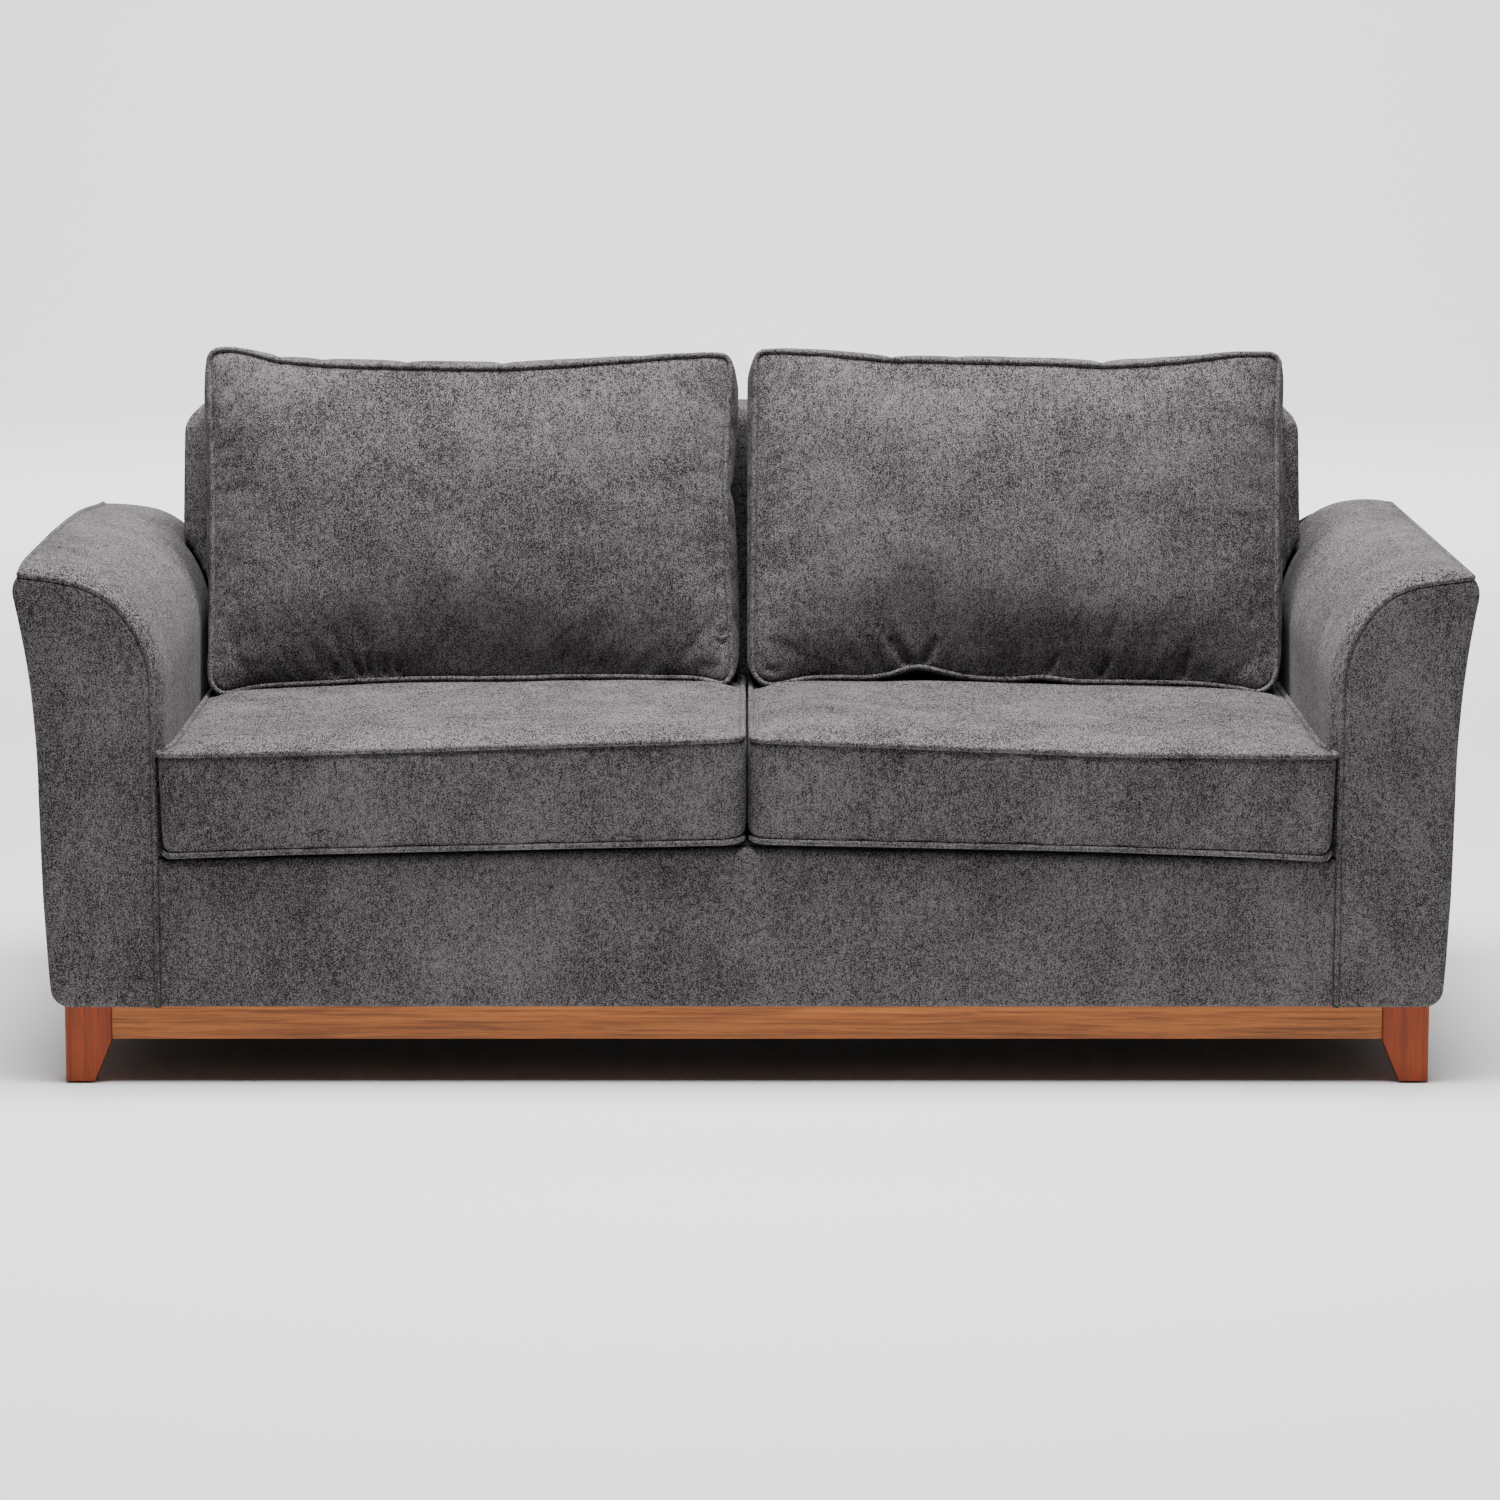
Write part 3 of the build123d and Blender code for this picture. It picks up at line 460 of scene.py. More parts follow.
def dress(tree, shader, colour, height, strength, depth, values):
    """Gives a shader its colour, its relief of a depth in metres, and values of its own sockets."""
    bump = add_node(
        tree, "ShaderNodeBump", {"Height": height, "Strength": strength, "Distance": depth}
    )
    tree.links.new(colour, shader.inputs["Base Color"])
    tree.links.new(bump.outputs["Normal"], shader.inputs["Normal"])
    for socket, value in values.items():
        shader.inputs[socket].default_value = value


def chenille(name):
    """Melange chenille: cut tufts in dark and pale yarn, a woven rib, and a nap that clouds."""
    cloth = bpy.context.scene.sofa_cloth
    material, tree, shader, place = new_material(name)
    tuft, rib, cloud = cloth.tuft_size, cloth.rib_size, cloth.cloud_size
    level = (0, 0, 0)
    # Tufts give the eye a fine grain of light and dark, clumps of them a coarser one, ribs a faint
    # grain across it, and the brushed nap gives soft clouds that drift. Real tufts are about a
    # millimetre wide, too fine to show, so they are drawn as coarse as they need to be. Tufts and
    # ribs are turned askew, so that no flat face cuts them into rings.
    # Each layer: its turn, its scale, detail, roughness, the noise it starts from and its tones.
    layers = {
        "cloud": (level, (1 / cloud, 1 / cloud, 0.6 / cloud), 3, 0.55, (0.32, 0.68), (0.31, 0.54)),
        "tuft": (
            (0.5, 0.35, 0.8), (1 / tuft, 0.4 / tuft, 1 / tuft), 1.5, 0.6, (0.3, 0.7), (-0.7, 0.7),
        ),
        "rib": (
            (0.4, 0.3, 0.6), (1 / rib, 0.22 / rib, 0.22 / rib), 2, 0.55, (0.3, 0.7), (-0.13, 0.13),
        ),
        "clump": (level, [0.2 / tuft] * 3, 1, 0.5, (0.3, 0.7), (-0.14, 0.14)),
        "drift": (level, [0.28 / cloud] * 3, 2, 0.5, (0.35, 0.65), (-0.08, 0.08)),
    }
    tone, patterns = 0.0, {}
    for layer, (turn, scale, detail, roughness, (low, high), (dark, pale)) in layers.items():
        space = add_node(
            tree, "ShaderNodeMapping", {"Vector": place, "Rotation": turn, "Scale": scale}
        )
        patterns[layer] = add_node(
            tree,
            "ShaderNodeTexNoise",
            {
                "Vector": space.outputs["Vector"], "Scale": 1,
                "Detail": detail, "Roughness": roughness,
            },
        ).outputs["Fac"]
        shade = add_node(
            tree,
            "ShaderNodeMapRange",
            {
                "Value": patterns[layer], "From Min": low, "From Max": high,
                "To Min": dark, "To Max": pale,
            },
        )
        tone = add_node(
            tree, "ShaderNodeMath", {0: tone, 1: shade.outputs["Result"]}, operation="ADD"
        ).outputs["Value"]
    colour = add_node(
        tree,
        "ShaderNodeMix",
        {"Factor": tone, "A": cloth.dark_yarn[:] + (1,), "B": cloth.pale_yarn[:] + (1,)},
        data_type="RGBA",
    )
    height = add_node(
        tree, "ShaderNodeMath", {0: patterns["tuft"], 1: patterns["rib"]}, operation="ADD"
    )
    values = {
        "Roughness": 0.95,
        "Specular IOR Level": 0.15,
        "Sheen Weight": cloth.sheen,
        "Sheen Roughness": 0.45,
        "Sheen Tint": linear("#cfcccd"),
    }
    relief = (height.outputs["Value"], 0.55, cloth.pile_height)
    dress(tree, shader, colour.outputs["Result"], *relief, values)
    return material


def lacquered_wood(name, pale, dark, grain_axis, grain_width, streak, seed):
    """Stained hardwood in satin lacquer: long grain, dark streaks, fine pores and slow drifts."""
    material, tree, shader, place = new_material(name)
    along = [1.0, 1.0, 1.0]
    along[grain_axis] = 0.03
    scale = [share / grain_width for share in along]
    grain_space = add_node(
        tree, "ShaderNodeMapping", {"Vector": place, "Location": (seed, seed, seed), "Scale": scale}
    ).outputs["Vector"]
    patterns = {}
    for layer, scale, detail, roughness, distortion in (
        ("grain", 1, 5, 0.6, 0.6),
        ("pores", 7, 2, 0.5, 0),
        ("drift", 0.22, 2, 0.5, 0),
        ("streaks", 0.9, 1, 0.4, 0.3),
    ):
        patterns[layer] = add_node(
            tree,
            "ShaderNodeTexNoise",
            {
                "Vector": grain_space, "Scale": scale, "Detail": detail,
                "Roughness": roughness, "Distortion": distortion,
            },
        ).outputs["Fac"]
    ramp = add_node(tree, "ShaderNodeValToRGB", {"Fac": patterns["grain"]})
    for element, position, tone in zip(ramp.color_ramp.elements, (0.3, 0.62), (dark, pale)):
        element.position, element.color = position, linear(tone)
    # Each shade: the noise it starts from, and the share of the light it leaves
    shade = 1.0
    for layer, (low, high), (least, most) in (
        ("pores", (0.3, 0.55), (0.72, 1)),
        ("drift", (0.3, 0.7), (0.8, 1.12)),
        ("streaks", (0.56, 0.68), (1, streak)),
    ):
        tone = add_node(
            tree,
            "ShaderNodeMapRange",
            {
                "Value": patterns[layer], "From Min": low, "From Max": high,
                "To Min": least, "To Max": most,
            },
        )
        shade = add_node(
            tree, "ShaderNodeMath", {0: shade, 1: tone.outputs["Result"]}, operation="MULTIPLY"
        ).outputs["Value"]
    colour = add_node(
        tree,
        "ShaderNodeVectorMath",
        {0: ramp.outputs["Color"], "Scale": shade},
        operation="SCALE",
    )
    values = {
        "Roughness": 0.5,
        "Specular IOR Level": 0.3,
        "Coat Weight": 0.04,
        "Coat Roughness": 0.25,
    }
    dress(tree, shader, colour.outputs["Vector"], patterns["pores"], 0.12, 0.4 * MM, values)
    return material


def plain_finish(name, dark, pale, size, roughness, metallic=0.0):
    """Even finish whose tone and relief waver at one real size."""
    material, tree, shader, place = new_material(name)
    speck = add_node(
        tree, "ShaderNodeTexNoise", {"Vector": place, "Scale": 1 / size, "Detail": 3}
    ).outputs["Fac"]
    ramp = add_node(tree, "ShaderNodeValToRGB", {"Fac": speck})
    for element, position, tone in zip(ramp.color_ramp.elements, (0.35, 0.65), (dark, pale)):
        element.position, element.color = position, linear(tone)
    values = {"Roughness": roughness, "Metallic": metallic}
    dress(tree, shader, ramp.outputs["Color"], speck, 0.4, 0.3 * MM, values)
    return material


def woven_cloth(name, dark, pale, thread):
    """Plain weave of matt thread: two crossed sets of threads whose tone and height waver."""
    material, tree, shader, place = new_material(name)
    fine, long = 1 / thread, 0.08 / thread
    tones = []
    for stretch in ((fine, long, long), (long, fine, fine)):
        threads = add_node(tree, "ShaderNodeMapping", {"Vector": place, "Scale": stretch})
        noise_inputs = {"Vector": threads.outputs["Vector"], "Scale": 1, "Detail": 2}
        tones.append(
            add_node(tree, "ShaderNodeTexNoise", {**noise_inputs, "Roughness": 0.5}).outputs["Fac"]
        )
    weave = add_node(
        tree, "ShaderNodeMath", {0: tones[0], 1: tones[1]}, operation="ADD"
    ).outputs["Value"]
    tone = add_node(
        tree, "ShaderNodeMapRange", {"Value": weave, "From Min": 0.75, "From Max": 1.25}
    )
    colour = add_node(
        tree,
        "ShaderNodeMix",
        {"Factor": tone.outputs["Result"], "A": linear(dark), "B": linear(pale)},
        data_type="RGBA",
    )
    values = {"Roughness": 0.9, "Specular IOR Level": 0.2}
    dress(tree, shader, colour.outputs["Result"], weave, 0.5, 0.3 * thread, values)
    return material


def finish_of(name, maker, *settings):
    """The material of this name, made once."""
    return bpy.data.materials.get(name) or maker(name, *settings)


def upholstery():
    """The sofa's chenille, made once."""
    return finish_of("melange chenille, cut pile", chenille)


# Piping
def piping_tree():
    """Geometry Nodes that lay a round cord in fabric along a seam."""
    tree = bpy.data.node_groups.get("piping along a seam")
    if tree:
        return tree
    tree = bpy.data.node_groups.new("piping along a seam", "GeometryNodeTree")
    sockets = (
        ("Seam", "INPUT", "NodeSocketGeometry"),
        ("Radius", "INPUT", "NodeSocketFloat"),
        ("Step", "INPUT", "NodeSocketFloat"),
        ("Sides", "INPUT", "NodeSocketInt"),
        ("Fabric", "INPUT", "NodeSocketMaterial"),
        ("Piping", "OUTPUT", "NodeSocketGeometry"),
    )
    for name, direction, kind in sockets:
        tree.interface.new_socket(name, in_out=direction, socket_type=kind)
    given = add_node(tree, "NodeGroupInput").outputs
    path = add_node(
        tree,
        "GeometryNodeResampleCurve",
        {"Curve": given["Seam"], "Length": given["Step"]},
        mode="LENGTH",
    )
    ring = add_node(
        tree,
        "GeometryNodeCurvePrimitiveCircle",
        {"Radius": given["Radius"], "Resolution": given["Sides"]},
    )
    tube = add_node(
        tree,
        "GeometryNodeCurveToMesh",
        {"Curve": path.outputs["Curve"], "Profile Curve": ring.outputs["Curve"], "Fill Caps": True},
    )
    real = add_node(tree, "GeometryNodeRealizeInstances", {"Geometry": tube.outputs["Mesh"]})
    dressed = add_node(
        tree,
        "GeometryNodeSetMaterial",
        {"Geometry": real.outputs["Geometry"], "Material": given["Fabric"]},
    )
    add_node(tree, "NodeGroupOutput", {"Piping": dressed.outputs["Geometry"]})
    return tree


def lay_piping(name, seams, closed):
    """Piping along seams, each a list of points, as one plain mesh."""
    curve = bpy.data.curves.new(name, "CURVE")
    curve.dimensions = "3D"
    for seam in seams:
        spline = curve.splines.new("POLY")
        spline.points.add(len(seam) - 1)
        for point, place in zip(spline.points, seam):
            point.co = (*place, 1)
        spline.use_cyclic_u = closed
    path = add_object(name + "_path", curve)
    cloth = bpy.context.scene.sofa_cloth
    tree = piping_tree()
    modifier = path.modifiers.new("piping", "NODES")
    modifier.node_group = tree
    values = {
        "Radius": cloth.piping_radius,
        "Step": 0.003,
        "Sides": 10,
        "Fabric": upholstery(),
    }
    for item in tree.interface.items_tree:
        if item.name in values:
            modifier[item.identifier] = values[item.name]
    depsgraph = bpy.context.evaluated_depsgraph_get()
    mesh = bpy.data.meshes.new_from_object(path.evaluated_get(depsgraph))
    mesh.name = name
    mesh.shade_smooth()
    bpy.data.objects.remove(path)
    return add_object(name, mesh)


# Cushions
def eased(knots, shares):
    """Values at shares along soft bends through knots of (share, value)."""
    fine = np.linspace(0, 1, 401)
    places, values = np.transpose(knots)
    window = np.hanning(27) / np.hanning(27).sum()
    line = np.pad(np.interp(fine, places, values), 13, mode="reflect", reflect_type="odd")
    return np.interp(shares, fine, np.convolve(line, window, mode="valid"))


def rounded_sides(corners, draws, radii, counts):
    """Low, right, high and left side of a seam, drawn in between rounded corners.

    Corners and sides run anticlockwise, and each side has its knots of (share, metres drawn in).
    """
    corners = np.array(corners, float)
    runs = np.roll(corners, -1, axis=0) - corners
    headings = runs / np.linalg.norm(runs, axis=1, keepdims=True)
    before = np.roll(headings, 1, axis=0)
    sides = []
    for place in range(4):
        heading = headings[place]
        inward = np.array((-heading[1], heading[0]))
        end = (place + 1) % 4
        first_centre = corners[place] + (heading - before[place]) * radii[place]
        last_centre = corners[end] + (headings[end] - heading) * radii[end]
        points = []
        for turn in np.linspace(math.pi / 4, 0, 6)[:-1]:
            spoke = -inward * math.cos(turn) - heading * math.sin(turn)
            points.append(first_centre + spoke * radii[place])
        start = corners[place] + heading * radii[place]
        stop = corners[end] - heading * radii[end]
        shares = np.linspace(0, 1, 160)
        for share, drawn in zip(shares, eased(draws[place], shares)):
            points.append(start + (stop - start) * share + inward * drawn)
        for turn in np.linspace(0, math.pi / 4, 6)[1:]:
            spoke = -inward * math.cos(turn) + heading * math.sin(turn)
            points.append(last_centre + spoke * radii[end])
        sides.append(spaced(points, counts[place % 2]))
    low, right, high, left = sides
    return low, right, high[::-1], left[::-1]


def patch(sides):
    """Grid of points filled in between four sides."""
    low, right, high, left = sides
    s = np.linspace(0, 1, len(low))[:, None, None]
    t = np.linspace(0, 1, len(left))[None, :, None]
    ruled = (1 - t) * low[:, None] + t * high[:, None] + (1 - s) * left[None] + s * right[None]
    corners = (
        (1 - s) * (1 - t) * low[0]
        + s * (1 - t) * low[-1]
        + (1 - s) * t * high[0]
        + s * t * high[-1]
    )
    return ruled - corners


def rim_of(grid):
    """Boundary points of a grid, in order round it."""
    return np.concatenate((grid[:, 0], grid[-1, 1:], grid[-2::-1, -1], grid[0, -2:0:-1]))


def crown_shape(columns, rows, power):
    """Height share of a crowned face at every grid point: 0 at the seam, 1 in the middle."""
    across = 1 - np.abs(np.linspace(-1, 1, columns)) ** power
    up = 1 - np.abs(np.linspace(-1, 1, rows)) ** power
    return np.sqrt(across[:, None] * up[None, :])


class CushionForm:
    """A box cushion: two seams in parallel planes, a border between them and two faces."""

    def __init__(self, origin, across, up, seams, draws, radii, thickness):
        self.origin, self.across, self.up = (np.array(v, float) for v in (origin, across, up))
        self.out = np.cross(self.across, self.up)
        self.seams, self.draws, self.radii = seams, draws, radii
        self.thickness = thickness

    def world(self, points):
        """Points of the cushion's own frame, placed in the sofa."""
        points = np.asarray(points)
        return (
            self.origin
            + points[..., 0:1] * self.across
            + points[..., 1:2] * self.up
            + points[..., 2:3] * self.out
        )

    def local(self, points):
        """Points of the sofa in the cushion's own frame."""
        points = np.asarray(points) - self.origin
        return np.stack([points @ axis for axis in (self.across, self.up, self.out)], axis=-1)

    def face_grid(self, layer, step, inset):
        """Flat grid inside the rear (0) or front (1) seam."""
        width, height = np.ptp(np.array(self.seams[0]), axis=0)
        counts = (int(width / step) | 1, int(height / step) | 1)
        corners = np.array(self.seams[layer])
        middle = corners.mean(axis=0)
        corners = corners - np.sign(corners - middle) * inset
        radii = [radius - inset for radius in self.radii]
        flat = patch(rounded_sides(corners, self.draws[layer], radii, counts))
        place = self.world(np.dstack((flat, np.full(flat.shape[:2], self.thickness * layer))))
        ripple = np.dstack((cloudy(place, 0.05, 1.0), cloudy(place, 0.05, 4.0)))
        return flat + 0.0007 * ripple

    def seam_line(self, layer):
        """Closed line of the piping in the sofa's frame."""
        rim = rim_of(self.face_grid(layer, 0.008, 0.0))
        depth = np.full(len(rim), self.thickness * layer)
        return self.world(np.column_stack((rim, depth)))


def cushion_mesh(name, form, step, crown, bulge, tuck):
    """Cushion in its own frame, and the indices of the points on its seams.

    Its grid has one step; its front crowns, and its border tucks in under the piping and bulges.
    """
    rear, front = (form.face_grid(layer, step, SEAM_INSET) for layer in (0, 1))
    heights = crown_shape(*front.shape[:2], 2.6)
    front_points = np.dstack((front, form.thickness + crown * heights))
    rear_points = np.dstack((rear, -0.002 * heights))
    levels = round(1.3 * form.thickness / step)
    rims = [rim_of(rear), rim_of(front)]
    rows = []
    for share in stations(0, 1, levels + 1, 0.85):
        rim = rims[0] * (1 - share) + rims[1] * share
        along = np.roll(rim, -1, axis=0) - np.roll(rim, 1, axis=0)
        outward = np.column_stack((along[:, 1], -along[:, 0]))
        outward /= np.linalg.norm(outward, axis=1, keepdims=True)
        from_seam = min(share, 1 - share) * form.thickness
        swell = bulge * (1 - math.exp(-((from_seam / (6 * MM)) ** 2)))
        swell -= tuck * math.exp(-(((from_seam - 2.5 * MM) / (1.8 * MM)) ** 2)) * (from_seam > 0)
        rim = rim + outward * swell
        rows.append(np.column_stack((rim, np.full(len(rim), form.thickness * share))))
    points, faces, places = [], [], {}

    def index_of(point):
        key = tuple(round(value, 6) for value in point)
        if key not in places:
            places[key] = len(points)
            points.append(point)
        return places[key]

    for grid in (rear_points, front_points):
        for column in range(grid.shape[0] - 1):
            for row in range(grid.shape[1] - 1):
                faces.append([index_of(grid[column + a, row + b]) for a, b in SQUARE])
    for low, high in zip(rows, rows[1:]):
        for place in range(len(low)):
            last = place - 1
            quad = (low[last], low[place], high[place], high[last])
            faces.append([index_of(point) for point in quad])
    piece = make_object(name, points, faces, upholstery())
    rim_keys = {
        tuple(round(value, 5) for value in point) for row in (rows[0], rows[-1]) for point in row
    }
    seam = [
        vertex.index
        for vertex in piece.data.vertices
        if tuple(round(value, 5) for value in vertex.co) in rim_keys
    ]
    return piece, seam


def inflate(piece, seam, form, pressure, caps):
    """Fills a cushion: its cloth grows and is pressed out between the held seams.

    Caps are the most that its rear face, border and front face may move.
    """
    growth, frames = 0.012, 20
    start = points_of(piece)
    held = piece.vertex_groups.new(name="seams")
    held.add(seam, 1.0, "REPLACE")
    cloth = piece.modifiers.new("filling", "CLOTH")
    values = {
        "vertex_group_mass": "seams",
        "use_pressure": True,
        "uniform_pressure_force": pressure,
        "shrink_min": -growth,
        "quality": 6,
        "mass": 0.3,
        "tension_stiffness": 20,
        "compression_stiffness": 20,
        "shear_stiffness": 8,
        "bending_stiffness": 0.4,
    }
    for name, value in values.items():
        setattr(cloth.settings, name, value)
    cloth.settings.effector_weights.gravity = 0
    cloth.collision_settings.use_self_collision = False
    cloth.point_cache.frame_start = 1
    cloth.point_cache.frame_end = frames
    for step in range(1, frames + 1):
        bpy.context.scene.frame_set(step)
    depsgraph = bpy.context.evaluated_depsgraph_get()
    moved = piece.evaluated_get(depsgraph).to_mesh()
    end = np.array([vertex.co[:] for vertex in moved.vertices])
    piece.modifiers.clear()
    piece.vertex_groups.clear()
    bpy.context.scene.frame_set(1)
    rear, border, front = caps
    share = start[:, 2] / form.thickness
    cap = np.where(share > 0.999, front, np.where(share < 0.001, rear, border))[:, None]
    shift = end - start
    length = np.linalg.norm(shift, axis=1, keepdims=True)
    return start + shift * np.tanh(length / cap) * cap / np.maximum(length, 1e-9)


def folded(form, points, folds):
    """Points of a cushion's front face sunk along folds, with a low ridge on both sides of each."""
    local = form.local(points)
    low = form.face_grid(1, 0.008, SEAM_INSET)[:, 0]
    across = (local[:, 0] - low[0, 0]) / (low[-1, 0] - low[0, 0])
    width = low[-1, 0] - low[0, 0]
    height = local[:, 1] - np.interp(local[:, 0], low[:, 0], low[:, 1])
    front = np.clip((local[:, 2] - form.thickness) / 0.003, 0, 1)
    place = np.column_stack((across * width, height))
    for first_share, first_up, last_share, last_up, size, depth in folds:
        first = np.array((first_share * width, first_up))
        run = np.array((last_share * width, last_up)) - first
        along = ((place - first) @ run / (run @ run)).clip(0, 1)
        near = np.linalg.norm(place - first - along[:, None] * run, axis=1) / size
        shape = (1 - 0.35 * near**2) * np.exp(-(near**2) / 1.4)
        local[:, 2] -= depth * front * shape * (1 - along) ** 0.6
    return form.world(local)


def lumps(form, points, size, depth):
    """Points of a cushion moved in and out by its uneven filling, least beside the seams."""
    local = form.local(points)
    low, high = np.array(form.seams[1]).min(axis=0), np.array(form.seams[1]).max(axis=0)
    from_seam = np.minimum(local[:, :2] - low, high - local[:, :2]).min(axis=1)
    calm = np.clip(from_seam / 0.05, 0, 1)
    front = np.clip((local[:, 2] - form.thickness) / 0.004, 0, 1)
    swell = cloudy(points, size) + 0.4 * cloudy(points, size * 0.4, 7.0)
    local[:, 2] += depth * swell * calm * front
    return form.world(local)


def subdivided(piece):
    """One more round of smooth subdivision, kept in the mesh."""
    smooth = piece.modifiers.new("smooth", "SUBSURF")
    smooth.levels = smooth.render_levels = 1
    return baked(piece)


def seat_form(side):
    """The seat cushion of one side, with its own frame: across the sofa, back, and up.

    Behind the arm's front it is squeezed between arm and neighbour, and in front it swells out.
    """
    half_width = (SEAT_HIGH[0] - SEAT_LOW[0]) / 2
    slope = math.atan2(SEAT_FALL, HALF_OPENING - ARM_PAD_PROUD)
    radius = bpy.context.scene.sofa_cloth.piping_radius
    width = (SEAT_HIGH[0] - SEAT_LOW[0] - SEAT_BORDER * math.sin(slope)) / 2 - radius
    depth = (SEAT_HIGH[1] - SEAT_LOW[1]) / 2 - radius
    across = (math.cos(slope), 0, -side * math.sin(slope))
    middle_x = SEAT_LOW[0] + half_width - SEAT_BORDER * math.sin(slope) / 2
    run = HALF_OPENING - ARM_PAD_PROUD
    height = DECK_EDGE + SEAT_FALL * (1 - middle_x / run) + SEAM_OFFSET
    origin = (side * middle_x, (SEAT_LOW[1] + SEAT_HIGH[1]) / 2, height)
    straight = ((0, 0), (1, 0))
    front = ((0, 0), (0.25, 0.0015), (0.5, 0.002), (0.75, 0.0015), (1, 0))
    seams, draws = [], []
    upright = SEAT_BORDER * math.tan(slope)
    # The low and the high seam: how far each swells out in front, and its inner end's shift
    for swell, shift in ((0.008, 0), (0.0125, upright)):
        shares = ((0, 0), (0.02, 0), (0.05, 0.3), (0.1, 0.9), (0.16, 1), (1, 1))
        squeezed = [(at, by * swell) for at, by in shares]
        if side > 0:
            outer = width + swell
            inner = -width - shift
            seams.append([(inner, -depth), (outer, -depth), (outer, depth), (inner, depth)])
            draws.append((front, squeezed, straight, straight))
        else:
            outer = -width - swell
            inner = width + shift
            seams.append([(outer, -depth), (inner, -depth), (inner, depth), (outer, depth)])
            back = [(1 - at, by) for at, by in reversed(squeezed)]
            draws.append((front, straight, straight, back))
    front_radius = 0.016
    radii = [front_radius, front_radius, SEAT_RADIUS, SEAT_RADIUS]
    radii[0 if side > 0 else 1] = INNER_RADIUS
    return CushionForm(origin, across, (0, 1, 0), seams, draws, radii, SEAT_BORDER)


def sagged(points, name, side):
    """Points of a seat cushion: front raised, low front seam drooping and rear dipped."""
    points = np.array(points)
    run = HALF_OPENING - ARM_PAD_PROUD
    away = (side * points[:, 0] / run).clip(0, 1)
    foot = DECK_EDGE + SEAT_FALL * (1 - away) + SEAM_OFFSET
    up = ((points[:, 2] - foot) / SEAT_BORDER).clip(0, 1)
    back = ((points[:, 1] - SEAT_LOW[1]) / (SEAT_HIGH[1] - SEAT_LOW[1])).clip(0, 1)
    rise, droop, dip = (eased(SEAT_SHAPES[name][kind], away) for kind in ("rise", "droop", "dip"))
    lip = np.exp(-(((points[:, 1] - SEAT_LOW[1] - 0.004) / 0.012) ** 2))
    points[:, 2] += up * (rise * (1 - back) - dip * back**2) - (1 - up) * droop * lip
    return points


def eased_limit(values, limit, soft):
    """Values that bend off over a soft stretch so that they never pass a limit."""
    over = np.maximum(values - (limit - soft), 0)
    return np.minimum(values, limit - soft) + soft * np.tanh(over / soft)


def height_over(cover):
    """Function that gives how high a piece's surface is at a point (x, y)."""
    tree = BVHTree.FromObject(cover, bpy.context.evaluated_depsgraph_get())
    inset = 0.016
    points = points_of(cover)
    low_side, high_side = points[:, 0].min() + inset, points[:, 0].max() - inset
    rear = points[:, 1].max() - inset

    def height(x, y):
        x = min(max(x, low_side), high_side)
        # A ray that meets an edge may slip through, so further ones go down beside it
        for aside in (0, 0.1 * MM, 0.3 * MM, 1 * MM):
            place = Vector((x + aside, min(y, rear) - aside, 1))
            hit = tree.ray_cast(place, Vector((0, 0, -1)))[0]
            if hit:
                return hit.z
        raise RuntimeError(f"{cover.name} has no surface below {tuple(place)}")

    return height


def back_form(name, seat_height):
    """The back cushion of one side, with its own frame: across, up the rake, and forwards."""
    shape = BACK_SHAPES[name]
    sine, cosine = math.sin(BACK_RAKE), math.cos(BACK_RAKE)
    origin = np.array((0, BACK_FACE, BACK_KNEE)) + SEAM_OFFSET * np.array((0, -cosine, sine))
    radius = bpy.context.scene.sofa_cloth.piping_radius
    ears = (CUSHION_TOP - radius - origin[2] - CUSHION_THICKNESS * sine) / cosine
    seams, draws = [], []
    for layer in (0, 1):
        depth = layer * CUSHION_THICKNESS
        foot_depth = origin[1] - depth * cosine
        xs = np.linspace(shape["low"][0] + radius, shape["low"][1] - radius, 60)
        heights = np.array([seat_height(x, foot_depth) for x in xs]) + radius + PIPING_GAP
        foot = (heights - origin[2] - depth * sine) / cosine
        shares = np.linspace(0, 1, len(xs))
        lifts = layer * eased(shape["lifts"], shares)
        chord = foot[0] + (foot[-1] - foot[0]) * shares
        low = list(zip(shares, foot - chord + lifts))
        seams.append(
            [
                (xs[0], foot[0]),
                (xs[-1], foot[-1]),
                (shape["high"][1] - radius, ears + shape["ears"][1]),
                (shape["high"][0] + radius, ears + shape["ears"][0]),
            ]
        )
        dip = 1.0 if layer else 0.3
        high = [(1 - share, dip * drawn) for share, drawn in reversed(shape["top"])]
        left = [(1 - share, drawn) for share, drawn in reversed(shape["left"])]
        draws.append((low, shape["right"], high, left))
    return CushionForm(
        origin, (1, 0, 0), (0, sine, cosine), seams, draws, shape["radii"], CUSHION_THICKNESS
    )


def padded_face(x, front, up, rolled, to_edge, to_side, waves):
    """Grid of a padded front that rolls back at its edges, swells between them and waves.

    Waves are given as their stretch across, size, seed and depth, and fade out at the side.
    """
    most, run, fade = 0.0015, 0.03, 0.02
    swell = most * (1 - np.exp(-to_edge / run))
    grid = grid_of(x, front + rolled - swell, up)
    stretch, size, seed, depth = waves
    lift = cloudy(grid * np.array((stretch, 1, 1)), size, seed) * depth
    grid[..., 1] += lift * np.clip(to_side / fade, 0, 1)
    return grid


